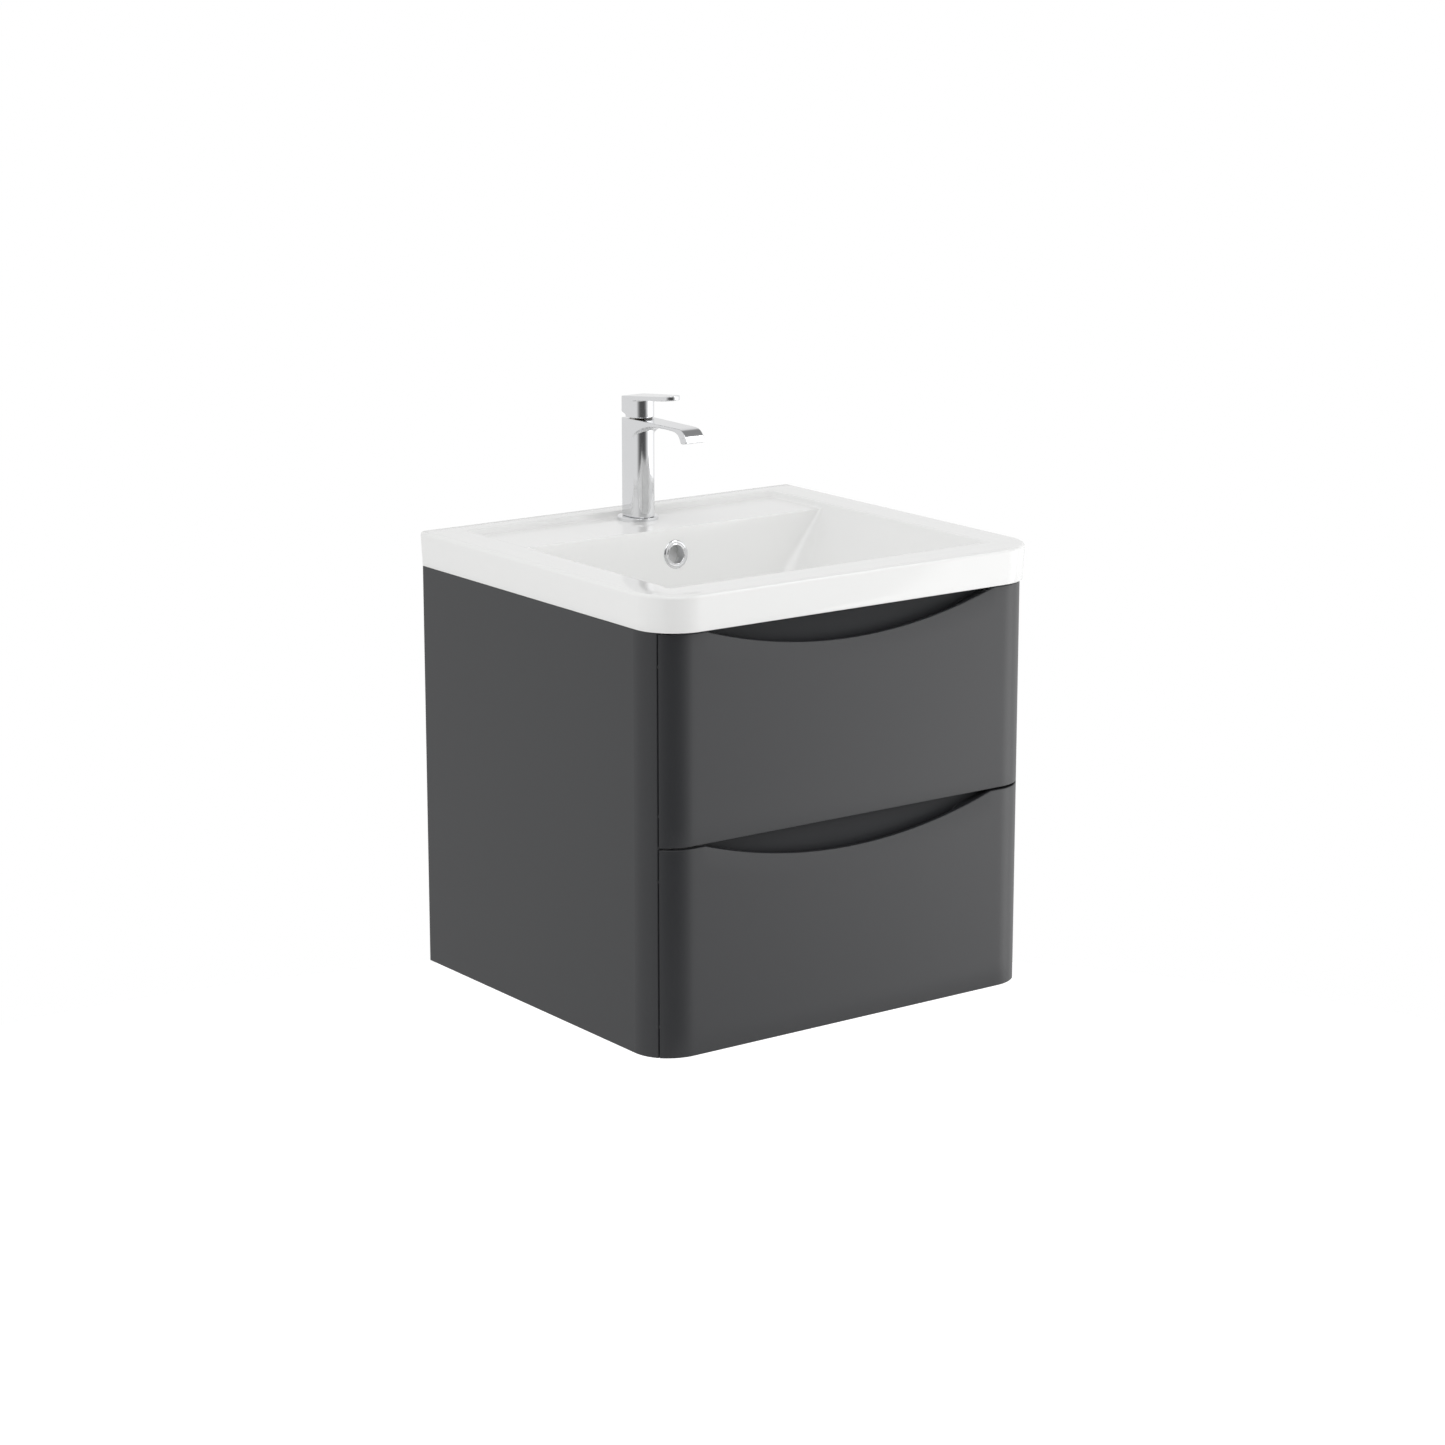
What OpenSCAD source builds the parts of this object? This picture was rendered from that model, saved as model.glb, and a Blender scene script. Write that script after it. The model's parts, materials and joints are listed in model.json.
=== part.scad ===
// Wall-hung bathroom vanity: two-drawer cabinet with rounded front corners, a ceramic basin with
// a tap ledge, and a single-lever mixer. Millimetres. The wall is the plane y = 0, the front
// faces -Y, the underside of the cabinet is z = 0 and x = 0 is the middle.

/* [Cabinet] */
// Width over the side panels
cabinet_w = 595; // [560:1:640]
// Height of the side panels
cabinet_h = 538; // [510:1:570]
// Depth from the wall to the front edge of the side panels
carcass_d = 514; // [490:1:540]
// Thickness of the side panels and the bottom panel
board_t = 18; // [16:0.5:19]
// Radius of the rounded vertical front corners
corner_r = 52; // [45:1:60]
// Thickness of the rails between the side panels
rail_t = 16; // [12:1:19]
// Height of the front rail under the basin
front_rail_h = 60; // [40:1:80]
// Height of the rear rails
rear_rail_h = 90; // [60:1:110]
// Space between the rear rails and the wall, where the hangers sit
rear_void = 36; // [30:1:45]

/* [Drawer fronts] */
// Thickness of a drawer front
front_t = 18; // [16:0.5:22]
// Gap between the carcass and the back of a closed front, filled by the buffers
front_gap = 1.5; // [1:0.1:3]
// Gap between the basin and the upper front
top_gap = 3; // [2:0.5:6]
// Gap between the two fronts
middle_gap = 3; // [2:0.5:6]
// Diameter of a buffer
buffer_d = 5; // [4:0.5:6]
// Distance of a buffer from the upper or lower edge of its front
buffer_inset = 40; // [25:1:60]

/* [Finger pulls] */
// Width of the crescent at the top edge of a front
pull_chord = 454; // [380:1:480]
// Depth of the crescent below the top edge
pull_sag = 36; // [25:1:50]
// How far the crescent is cut into the face
pull_depth = 13; // [10:0.5:14]
// Thickness of the lip that the fingers hook behind
pull_lip = 5.5; // [4:0.5:7]
// Depth of the finger groove below the edge of the lip
groove_drop = 11; // [8:0.5:14]
// Half of the angle that the finger groove sweeps
groove_half_angle = 14.5; // [10:0.5:16]

/* [Drawer boxes] */
// Thickness of the sides, the inner front and the back of a box
box_board = 15; // [12:1:16]
// Thickness of the bottom of a box
box_bottom_t = 8; // [6:1:10]
// How deep the bottom sits in its grooves
groove_in = 6; // [4:0.5:8]
// Height of the underside of the bottom above the lower edge of the box
bottom_up = 12; // [8:1:20]
// Gap between the lower edge of a box and what is below it
box_lift = 6; // [4:1:15]
// Height of the lower edge of the upper box above the lower edge of its front
upper_box_up = 18; // [8:1:22]
// Height of the lower box
lower_box_h = 170; // [140:1:190]
// Height of the upper box
upper_box_h = 146; // [120:1:150]
// Width of the bay that clears the waste and the trap
bay_w = 150; // [130:1:170]
// Wall of the moulded collar round the bay
collar_t = 3; // [2:0.5:5]
// Diameter of the screws that hold the fronts
screw_d = 4; // [3.5:0.5:5]
// How deep the screws bite into the fronts
screw_bite = 10; // [6:1:12]
// Number of screws in a row
screw_count = 4; // [2:1:5]
// Distance of the outer screws from the sides of a box
screw_inset = 50; // [30:1:80]
// Height of the lower row of screws above the lower edge of a box
screw_low = 55; // [35:1:60]
// Distance of the upper row of screws below the upper edge of a box
screw_high = 32; // [20:1:45]

/* [Runners] */
// Gap between the rear rails and the drawer boxes, which are as long as the runners
runner_back_gap = 23.5; // [15:0.5:60]
// Height of a runner
runner_h = 45; // [40:1:50]
// Thickness of a runner
runner_t = 12.7; // [12.5:0.1:13.5]
// Thickness of the steel strip
strip_t = 1.2; // [1:0.1:1.5]
// Height of the middle of a runner above the lower edge of its box
rail_up = 55; // [45:1:70]
// Diameter of the bearing balls
ball_d = 3.2; // [3:0.1:3.6]
// Radial play of a ball between its races
ball_play = 0.05; // [0.02:0.01:0.08]
// Number of balls in a row
ball_count = 6; // [4:1:10]
// Distance from ball to ball
ball_pitch = 14; // [9:1:18]
// How far a drawer opens
travel = 380; // [300:10:400]
// Distance of the front ends of the rails behind the front edge of the side panels
rail_setback = 2; // [1:0.5:6]
// How much shorter the middle rail is at its back end
middle_back = 4; // [2:0.5:8]
// How much shorter the middle rail is at its front end
middle_front = 8; // [4:0.5:12]
// Length of the pressed stops that end the travel
stop_len = 6; // [4:0.5:10]
// Width of the stops
stop_w = 9; // [6:0.5:12]

/* [Hangers] */
// Height of a hanger above the lower edge of the upper rear rail
hanger_up = 12; // [5:1:20]
// Width of a hanger
hanger_w = 16; // [12:1:20]
// Height of a hanger
hanger_h = 60; // [50:1:66]
// Distance of the top of a hook below the top of its hanger
hook_down = 3; // [2:0.5:6]
// Height of a hook
hook_h = 12; // [10:0.5:16]
// Reach of a hook from the hanger over the wall plate
hook_w = 40; // [30:1:50]
// Gap between the wall plate and its lip, in which the hook hangs
lip_gap = 6; // [5:0.5:8]
// How much narrower the lip of a wall plate is at each side
lip_inset = 4; // [2:0.5:8]
// Diameter of the adjusting screws of a hanger
adjust_d = 7; // [5:0.5:8]
// Height of the lower adjusting screw above the lower edge of its hanger
adjust_up = 15; // [10:1:20]
// Distance between the two adjusting screws
adjust_pitch = 15; // [10:1:20]
// Thickness of the steel of the hook and the wall plate
plate_t = 2.5; // [2:0.5:3]
// Width of a wall plate
plate_w = 60; // [50:1:70]
// Height of a wall plate
plate_h = 64; // [56:1:80]
// Vertical distance between the two screw holes of a wall plate
plate_pitch = 32; // [25:1:40]
// Diameter of the screw holes in the wall plates
plate_hole_d = 6.5; // [5:0.5:8]

/* [Basin] */
// How far the basin stands out past the side panels
side_overhang = 2.5; // [0:0.5:10]
// How far the basin stands out past the drawer fronts
front_overhang = 11.5; // [5:0.5:20]
// Height of the skirt from its lower edge to the rim
basin_t = 46.7; // [42:0.1:55]
// Radius of the front corners
basin_corner_r = 60; // [50:1:70]
// Radius of the rounded outer top edge
basin_edge_r = 5; // [3:0.5:7]
// How much the skirt draws in towards its lower edge
skirt_taper = 2.5; // [1:0.5:4]
// Thickness of the skirt at its lower edge
skirt_wall = 14; // [12:0.5:18]
// Thickness of the ceramic under the tap ledge
deck_t = 11; // [9:0.5:14]
// Width of the rim at the left and right of the opening
rim_side = 50; // [40:1:60]
// Width of the rim in front of the opening
rim_front = 51; // [42:1:60]
// Width of the rim behind the tap ledge
rim_rear = 31; // [26:1:34]
// Depth of the tap ledge below the rim
ledge_drop = 7; // [5:0.5:10]
// Distance from the wall to the front edge of the tap ledge
ledge_front = 147; // [135:1:155]
// Slope of the rear wall of the recess, from vertical
recess_lean = 35; // [20:1:45]
// Depth of the bowl below the tap ledge
bowl_depth = 105; // [90:1:108]
// Slope of the left and right bowl walls, from vertical
side_lean = 36; // [30:1:40]
// Slope of the rear bowl wall, from vertical
rear_lean = 8; // [4:1:14]
// Slope of the front bowl wall, from vertical
front_lean = 14; // [6:1:20]
// Corner radius at the top of the bowl
bowl_top_r = 4; // [3:0.5:10]
// Corner and floor radius at the bottom of the bowl
bowl_floor_r = 30; // [20:1:36]
// Thickness of the bowl wall
bowl_wall = 9; // [8:0.5:12]
// Thickness of the rib that bears on the front rail
rib_t = 14; // [10:0.5:16]

/* [Overflow and waste] */
// Outer diameter of the overflow ring
ring_d = 38; // [34:0.5:42]
// Bore of the overflow ring
ring_bore = 24; // [20:0.5:26]
// Height of the flange of the ring
ring_flange = 2; // [1.5:0.1:3]
// Width of the groove and of the chamfer of the ring
ring_lip = 0.8; // [0.5:0.1:1.2]
// Distance of the middle of the ring below the tap ledge
ring_drop = 33.7; // [28:0.1:45]
// Width of the overflow channel behind the bowl
channel_w = 40; // [34:1:46]
// Depth of the overflow channel
channel_d = 12; // [9:0.5:16]
// Diameter of the waste hole in the bowl
waste_hole_d = 46; // [45:0.5:48]
// Diameter of the waste flange
waste_flange_d = 64; // [60:1:70]
// Outer diameter of the waste tail
waste_tail_d = 41.91; // [38:0.01:44]
// Bore of the waste tail
waste_bore_d = 33; // [28:0.5:35]
// Length of the lower thread of the tail, which the trap's nut grips
tail_grip = 25; // [20:0.5:28]
// Width of the run-out groove above it
tail_groove = 2; // [1.5:0.5:3]
// Length of the waste below the bowl floor
waste_len = 82; // [70:1:90]
// How far the plug rises when it is pressed open
plug_lift = 8; // [5:1:12]

/* [Tap] */
// Diameter of the base ring
base_ring_d = 55.4; // [50:0.2:56]
// Height of the base ring
base_ring_h = 5; // [3:0.5:8]
// Distance from the wall to the middle of the tap hole
tap_hole_y = 64.2; // [60:0.1:70]
// Diameter of the tap hole
tap_hole_d = 35; // [33:0.5:37]
// Width of the tap body
body_w = 35; // [34:0.5:40]
// Distance of the round front's axis in front of the tap hole
body_forward = 9; // [6:0.1:11]
// Distance from the flat back to the axis of the round front
body_back = 20.4; // [18:0.1:22]
// Height of the spout's top above the tap ledge
spout_top = 137.3; // [125:0.1:150]
// Reach of the spout from the axis of the round front
spout_reach = 125.3; // [110:0.1:140]
// Width of the spout at its tip
spout_tip_w = 29.6; // [26:0.1:32]
// Height of the lower lip of the outlet above the tap ledge
outlet_z = 117.5; // [110:0.1:120]
// Thickness of the spout where it is thinnest
spout_t = 5; // [4.5:0.1:6]
// Height of the spout's springing from the body, above the tap ledge
arch_foot = 100; // [85:1:105]
// Gap between the body and the handle
handle_gap = 1.6; // [1.2:0.1:2.5]
// Height of the handle from its lower edge to its top at the back
handle_h = 27; // [24:0.1:32]
// Thickness of the lever
lever_t = 6; // [5:0.1:8]
// Reach of the lever from the axis of the round front
lever_reach = 79.3; // [70:0.1:95]
// Rise of the lever towards its tip
lever_rise = 5.7; // [3:0.1:8]
// Wall of the handle
handle_wall = 2.5; // [2:0.1:3]
// How far the handle turns to each side
turn_angle = 45; // [30:1:60]
// How far the handle lifts
lift_angle = 18; // [12:1:20]
// Radius of the cartridge
cartridge_r = 14.2; // [13:0.1:14.6]
// Radius of the hinge pin of the lever
lever_pin_r = 1.5; // [1.2:0.1:1.8]
// Radius of the fixing stud
stud_r = 4; // [3:0.5:4.5]
// Radius of the two hose inlets
inlet_r = 4.6; // [4.3:0.1:4.8]

/* [Fits] */
// Gap between pieces that only lie beside each other
side_gap = 0.3; // [0.2:0.05:0.4]
// Radial clearance of a running or push-in fit
fit = 0.05; // [0.02:0.01:0.09]

/* [Hidden] */

$fn = 96;
eps = 0.01;
over = 5;

// Colours of the finishes
lacquer = "#4b4c4e";
board_grey = "#8b8c8e";
steel = "#b9bcbf";
ceramic = "#f2f2f0";
chrome = "#d7dadd";
rubber = "#2b2b2c";
brass = "#c2a15a";
plastic_grey = "#9a9c9f";
plastic_white = "#e6e6e4";

// Cabinet
inner_w = cabinet_w - 2 * board_t;
plan_d = carcass_d + front_gap + front_t;
front_y = -plan_d;
front_back_y = -(carcass_d + front_gap);
front_h = (cabinet_h - top_gap - middle_gap) / 2;
upper_front_z = front_h + middle_gap;
corner_x = cabinet_w / 2 - corner_r;
corner_y = -(plan_d - corner_r);
// Where the rounded corner meets the front edge of a side panel
joint_x = corner_x + sqrt(pow(corner_r, 2) - pow(carcass_d + corner_y, 2));
rear_rail_y = -rear_void - rail_t;
basin_w = cabinet_w + 2 * side_overhang;
basin_d = plan_d + front_overhang;

// Finger pull: a circle through the two ends and the lowest point of the crescent
pull_r = (pow(pull_chord / 2, 2) + pow(pull_sag, 2)) / (2 * pull_sag);
groove_w = pull_depth - pull_lip;

// Drawer boxes
box_w = inner_w - 2 * runner_t;
box_inner_w = box_w - 2 * box_board;
box_front_y = front_back_y;
box_back_y = rear_rail_y - runner_back_gap;
runner_len = box_back_y - box_front_y;
lower_box_z = board_t + box_lift;
upper_box_z = upper_front_z + upper_box_up;
inner_front_y = box_front_y + box_board;
back_front_y = box_back_y - box_board;

// Runners, across their thickness from the cabinet side, and up from their middle
race_outer = runner_h / 2 - strip_t;
ball_space = ball_d + 2 * ball_play;
middle_half = race_outer - ball_space;
middle_inner = middle_half - strip_t;
drawer_half = middle_inner - ball_space;
middle_near = strip_t + ball_d / 2;
middle_far = runner_t - strip_t - side_gap;
drawer_near = middle_near + strip_t + side_gap;
outer_ball_x = middle_near + strip_t + ball_d / 2;
inner_ball_x = drawer_near + strip_t + ball_d / 2;
lower_rail_z = lower_box_z + rail_up;
upper_rail_z = upper_box_z + rail_up;
cage_t = 1;

// Hangers
hanger_z = cabinet_h - rear_rail_h + hanger_up;
hook_z = hanger_z + hanger_h - hook_down - hook_h;
plate_x = inner_w / 2 - hanger_w - plate_w / 2;
lip_y = -plate_t - lip_gap;
// Back of the hanger's case, clear of the lip of the wall plate
case_y = lip_y - plate_t - 2;

// Basin
rim_z = cabinet_h + basin_t;
ledge_z = rim_z - ledge_drop;
deck_z = ledge_z - deck_t;
floor_z = ledge_z - bowl_depth;
opening_half = basin_w / 2 - rim_side;
opening_front = -(basin_d - rim_front);
floor_centre_z = floor_z + bowl_floor_r;
// Half width, rear and front of the bowl at a height, on the planes of its walls
function bowl_half(z) = opening_half - (rim_z - z) * tan(side_lean);
function bowl_front(z) = opening_front + (rim_z - z) * tan(front_lean);
function bowl_rear(z) = -ledge_front - (ledge_z - z) * tan(rear_lean);
function recess_rear(z) = -rim_rear - (rim_z - z) * tan(recess_lean);
// Centres of the floor spheres, which touch the planes of the walls
floor_x = bowl_half(floor_centre_z) - bowl_floor_r / cos(side_lean);
floor_rear = bowl_rear(floor_centre_z) - bowl_floor_r / cos(rear_lean);
floor_front = bowl_front(floor_centre_z) + bowl_floor_r / cos(front_lean);
waste_y = (floor_rear + floor_front) / 2;
ring_z = ledge_z - ring_drop;
ring_y = bowl_rear(ring_z);
rib_y = -carcass_d;
sleeve_r = ring_bore / 2 + 1.5;

// Waste, from the bowl floor down
boss_h = 2 * bowl_wall + channel_d;
boss_z = floor_z - boss_h;
boss_r = waste_hole_d / 2 + bowl_wall;
flange_h = 3;
seal_t = 2;
slot_z = floor_z - bowl_wall - channel_d / 2;
waste_top = floor_z + seal_t + flange_h;
tail_z = floor_z - waste_len;
nut_seal_t = 4;
waste_nut_h = 11;
plug_r = waste_bore_d / 2 + 8;
plug_h = 5;
stem_r = 5;
hub_h = 10;
hub_z = slot_z - channel_d - hub_h;

// Tap, in plan from the axis of the round front
axis_y = -(tap_hole_y + body_forward);
half_w = body_w / 2;
body_z = ledge_z + base_ring_h;
top_z = ledge_z + spout_top;
cap_z = top_z + handle_gap;
handle_top = cap_z + handle_h;
nut_r = cartridge_r + 1;
nut_h = 4;
nut_top = top_z - 2.2;
cartridge_h = 34;
turret_flange = 2;
turret_z = nut_top + fit;
turret_top = turret_z + turret_flange;
spindle_r = 8;
spindle_h = nut_h + 6;
// The back of the handle is relieved, so that it can tilt
relief_y = body_back - 9;
relief_h = 2.9;
relief_rise = (body_back - relief_y) * tan(lift_angle + 2.7);
relief_wall = 1.2;
// Stop pin under the turret, which runs in an arc-shaped groove of the cartridge nut
stop_pin_r = 1.2;
stop_pin_h = 2;
stop_arc_r = (spindle_r + nut_r) / 2;
stop_half = turn_angle + asin((stop_pin_r + side_gap) / stop_arc_r);
// Hinge of the lever, just in front of the relief
lug_r = lever_pin_r + 1.6;
hinge_y = relief_y - relief_wall - lug_r - 0.5;
hinge_z = cap_z + 5.6;
lug_w = 10;
// Hose inlets and stud, measured from the middle of the tap hole
inlet_front = 5.5;
inlet_x = 6.2;
inlet_depth = 12;
stud_back = 5;
service_r = 11.9;
service_front = 2.4;
washer_r = 25;
rubber_t = 3;
fixing_t = 2.5;
fixing_nut_h = 9;
outlet_slant = 2.5;
outlet_t = 14.5;
insert_w = 22;
insert_d = 8;
insert_h = 6;

// ---------------------------------------------------------------- shared shapes

// Plan with two rounded front corners, from the wall to depth d
module rounded_plan(w, d, r) {
    translate([-w / 2, -(d - r)]) square([w, d - r]);
    translate([-(w / 2 - r), -d]) square([w - 2 * r, d]);
    for (side = [-1, 1])
        translate([side * (w / 2 - r), -(d - r)]) circle(r);
}

// A box given by its low and high corners
module block(low, high) {
    translate(low) cube(high - low);
}

// Copies what follows to the left or the right; the shapes are drawn on the right
module on_side(side) {
    if (side < 0) mirror([1, 0, 0]) children();
    else children();
}

module ring(r_out, r_in, h) {
    difference() {
        cylinder(r = r_out, h = h);
        translate([0, 0, -over]) cylinder(r = r_in, h = h + 2 * over);
    }
}

function bezier(p, t) =
    pow(1 - t, 3) * p[0] + 3 * pow(1 - t, 2) * t * p[1] + 3 * (1 - t) * t * t * p[2] + pow(t, 3) * p[3];
function curve(p, steps) = [for (i = [0 : steps]) bezier(p, i / steps)];

// ---------------------------------------------------------------- carcass

module side_panel(side) {
    color(lacquer) on_side(side)
        linear_extrude(cabinet_h) intersection() {
            rounded_plan(cabinet_w, plan_d, corner_r);
            translate([inner_w / 2, -carcass_d]) square([board_t, carcass_d]);
        }
}

module bottom_panel() {
    color(lacquer) block([-inner_w / 2, -carcass_d, 0], [inner_w / 2, 0, board_t]);
}

module front_rail() {
    color(board_grey)
        block([-inner_w / 2, -carcass_d, cabinet_h - front_rail_h],
              [inner_w / 2, -carcass_d + rail_t, cabinet_h]);
}

module rear_rail(z) {
    block([-inner_w / 2, rear_rail_y, z], [inner_w / 2, -rear_void, z + rear_rail_h]);
}

// The upper rear rail has holes through which the hangers are adjusted
module rear_top_rail() {
    color(board_grey) difference() {
        rear_rail(cabinet_h - rear_rail_h);
        for (side = [-1, 1]) on_side(side) at_adjusters()
            translate([0, 0, -rail_t - over]) cylinder(d = adjust_d + 1, h = rail_t + 2 * over, $fn = 32);
    }
}

module rear_low_rail() {
    color(board_grey) rear_rail(board_t);
}

// Soft dots on the front edges of the side panels, which the closed fronts rest on
module front_buffers() {
    dot_x = (inner_w / 2 + joint_x) / 2;
    color(rubber)
        for (side = [-1, 1], z = [buffer_inset, front_h - buffer_inset], base = [0, upper_front_z])
            translate([side * dot_x, -carcass_d, base + z])
                rotate([90, 0, 0]) cylinder(d = buffer_d, h = front_gap);
}

// ---------------------------------------------------------------- hanging

// The adjusting screws of the right hanger, with local +Z into its case
module at_adjusters() {
    for (up = [adjust_up, adjust_up + adjust_pitch])
        translate([inner_w / 2 - hanger_w / 2, -rear_void, hanger_z + up]) rotate([-90, 0, 0]) children();
}

// Case on the side panel with two adjusting screws, and a steel hook that drops behind the lip
// of the wall plate
module hanger(side) {
    low_x = inner_w / 2 - hanger_w;
    hook_x = low_x - hook_w;
    on_side(side) {
        color(plastic_white) difference() {
            block([low_x, -rear_void, hanger_z], [inner_w / 2, case_y, hanger_z + hanger_h]);
            at_adjusters() translate([0, 0, -over]) cylinder(d = adjust_d, h = over + adjust_d / 2, $fn = 32);
        }
        color(steel) {
            block([hook_x, case_y - plate_t, hook_z], [low_x + hanger_w / 2, case_y, hook_z + hook_h]);
            block([hook_x, case_y - plate_t, hook_z + hook_h - plate_t],
                  [low_x - lip_inset, lip_y + plate_t + 1, hook_z + hook_h]);
            block([hook_x, lip_y + 1, hook_z + 2], [low_x - lip_inset, lip_y + plate_t + 1, hook_z + hook_h]);
        }
    }
}

// Steel plate screwed to the wall, with a lip bent forward and up
module wall_plate(side) {
    lip_low = hook_z - hook_h / 2;
    low_x = plate_x - plate_w / 2;
    high_x = plate_x + plate_w / 2;
    color(steel) on_side(side) difference() {
        union() {
            block([low_x, -plate_t, hook_z - plate_h / 2], [high_x, 0, hook_z + plate_h / 2]);
            block([low_x + lip_inset, lip_y, lip_low], [high_x - lip_inset, -plate_t, lip_low + plate_t]);
            block([low_x + lip_inset, lip_y - plate_t, lip_low],
                  [high_x - lip_inset, lip_y, hook_z + hook_h - plate_t]);
        }
        for (up = [-1, 1])
            translate([plate_x, over, hook_z + up * plate_pitch / 2])
                rotate([90, 0, 0]) cylinder(d = plate_hole_d, h = plate_t + 2 * over);
    }
}

// ---------------------------------------------------------------- drawers

// Front with rounded ends and a crescent finger pull; z is its lower edge, and its screws
// come from the box with its lower edge at box_z
module drawer_front(z, box_z, box_h) {
    centre_z = z + front_h - pull_sag + pull_r;
    color(lacquer) difference() {
        translate([0, 0, z]) linear_extrude(front_h) intersection() {
            rounded_plan(cabinet_w, plan_d, corner_r);
            translate([-cabinet_w / 2, front_y]) square([cabinet_w, front_t]);
        }
        translate([0, front_y + pull_depth, centre_z])
            rotate([90, 0, 0]) cylinder(r = pull_r, h = pull_depth + over, $fn = 240);
        translate([0, front_y + pull_depth, centre_z])
            rotate([90, 0, 0]) finger_groove();
        screws(box_z, box_h, fit);
    }
}

// Ring segment that is cut behind the lip, about the axis of the crescent
module finger_groove() {
    bottom_r = pull_r + groove_drop - groove_w / 2;
    rotate([0, 0, -90 - groove_half_angle])
        rotate_extrude(angle = 2 * groove_half_angle, $fn = 240) {
            translate([pull_r - over, 0]) square([bottom_r - pull_r + over, groove_w]);
            translate([bottom_r, groove_w / 2]) circle(groove_w / 2, $fn = 32);
        }
}

module box_side(side, z, h) {
    color(board_grey) on_side(side) difference() {
        block([box_inner_w / 2, box_front_y, z], [box_w / 2, box_back_y, z + h]);
        bottom_board(z);
    }
}

module inner_front(z, h) {
    color(board_grey) difference() {
        block([-box_inner_w / 2, box_front_y, z], [box_inner_w / 2, inner_front_y, z + h]);
        bottom_board(z);
        screws(z, h, fit);
    }
}

// The bottom sits in grooves on all four sides
module bottom_board(z) {
    block([-box_inner_w / 2 - groove_in, inner_front_y - groove_in, z + bottom_up],
          [box_inner_w / 2 + groove_in, back_front_y + groove_in, z + bottom_up + box_bottom_t]);
}

// Screws through the inner front into the drawer front, their heads inside the box
module screws(z, h, play = 0) {
    row = box_inner_w - 2 * screw_inset;
    for (i = [0 : screw_count - 1], up = [screw_low, h - screw_high])
        translate([-row / 2 + i * row / (screw_count - 1), inner_front_y, z + up]) rotate([90, 0, 0]) {
            cylinder(r = screw_d / 2 + play, h = box_board + screw_bite);
            translate([0, 0, -screw_d / 2]) cylinder(d = 2 * screw_d, h = screw_d / 2);
        }
}

module lower_back() {
    color(board_grey) difference() {
        block([-box_inner_w / 2, back_front_y, lower_box_z],
              [box_inner_w / 2, box_back_y, lower_box_z + lower_box_h]);
        bottom_board(lower_box_z);
    }
}

// The back of the upper box stops at the collar on both sides
module upper_back(side) {
    color(board_grey) on_side(side) difference() {
        block([bay_w / 2 + collar_t, back_front_y, upper_box_z],
              [box_inner_w / 2, box_back_y, upper_box_z + upper_box_h]);
        bottom_board(upper_box_z);
    }
}

module lower_bottom() {
    color(board_grey) bottom_board(lower_box_z);
}

// Outline of the bay: a U round the waste, open to the back
module bay_outline(grow) {
    translate([0, waste_y]) circle(bay_w / 2 + grow);
    translate([-bay_w / 2 - grow, waste_y]) square([bay_w + 2 * grow, box_back_y - waste_y + over]);
}

module upper_bottom() {
    color(board_grey) difference() {
        bottom_board(upper_box_z);
        translate([0, 0, upper_box_z]) linear_extrude(upper_box_h) bay_outline(0);
    }
}

// Moulded U-shaped wall on the bottom of the upper box
module upper_bay_collar() {
    z = upper_box_z + bottom_up + box_bottom_t;
    color(plastic_grey) intersection() {
        translate([0, 0, z]) linear_extrude(upper_box_z + upper_box_h - z) difference() {
            bay_outline(collar_t);
            bay_outline(0);
        }
        block([-box_w, box_front_y, 0], [box_w, box_back_y, cabinet_h]);
    }
}

// ---------------------------------------------------------------- runners

// Sections are drawn with x across the thickness, from the cabinet side, and y upwards
module cabinet_section() {
    lip = outer_ball_x + ball_d / 2 + ball_play + strip_t;
    difference() {
        translate([0, -runner_h / 2]) square([lip, runner_h]);
        translate([strip_t, -race_outer]) square([lip, 2 * race_outer]);
    }
    for (up = [-1, 1])
        translate([lip - strip_t, up * (race_outer - ball_d / 4) - ball_d / 4]) square([strip_t, ball_d / 2]);
}

module middle_section() {
    difference() {
        translate([middle_near, -middle_half]) square([middle_far - middle_near, 2 * middle_half]);
        translate([middle_near + strip_t, -middle_inner]) square([middle_far, 2 * middle_inner]);
    }
}

module drawer_section() {
    depth = runner_t - drawer_near;
    difference() {
        translate([drawer_near, -drawer_half]) square([depth, 2 * drawer_half]);
        translate([drawer_near - strip_t, -drawer_half + strip_t])
            square([depth, 2 * (drawer_half - strip_t)]);
    }
}

// Balls of one row in their strip cage, at the middle of the runner
module ball_row(x, y) {
    first = -(ball_count - 1) / 2;
    for (i = [0 : ball_count - 1])
        translate([x, y, (first + i) * ball_pitch]) sphere(d = ball_d, $fn = 24);
    translate([x - ball_d / 4, y - cage_t / 2, (first - 0.5) * ball_pitch])
        cube([ball_d / 2, cage_t, ball_count * ball_pitch]);
}

// Lays a section along the drawer, on the inner face of the right side panel
module along_runner(side, z) {
    on_side(side)
        translate([inner_w / 2, box_front_y + runner_len, z])
            rotate([90, 0, 0]) mirror([1, 0, 0]) children();
}

// The stop in the cabinet rail is where the stop of the middle rail arrives when the drawer is open
module cabinet_rail(side, z) {
    color(steel) along_runner(side, z) {
        linear_extrude(runner_len - front_gap - rail_setback) cabinet_section();
        translate([0, -stop_w / 2, middle_back + stop_len + travel / 2 + side_gap])
            cube([middle_near - side_gap, stop_w, stop_len]);
    }
}

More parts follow.
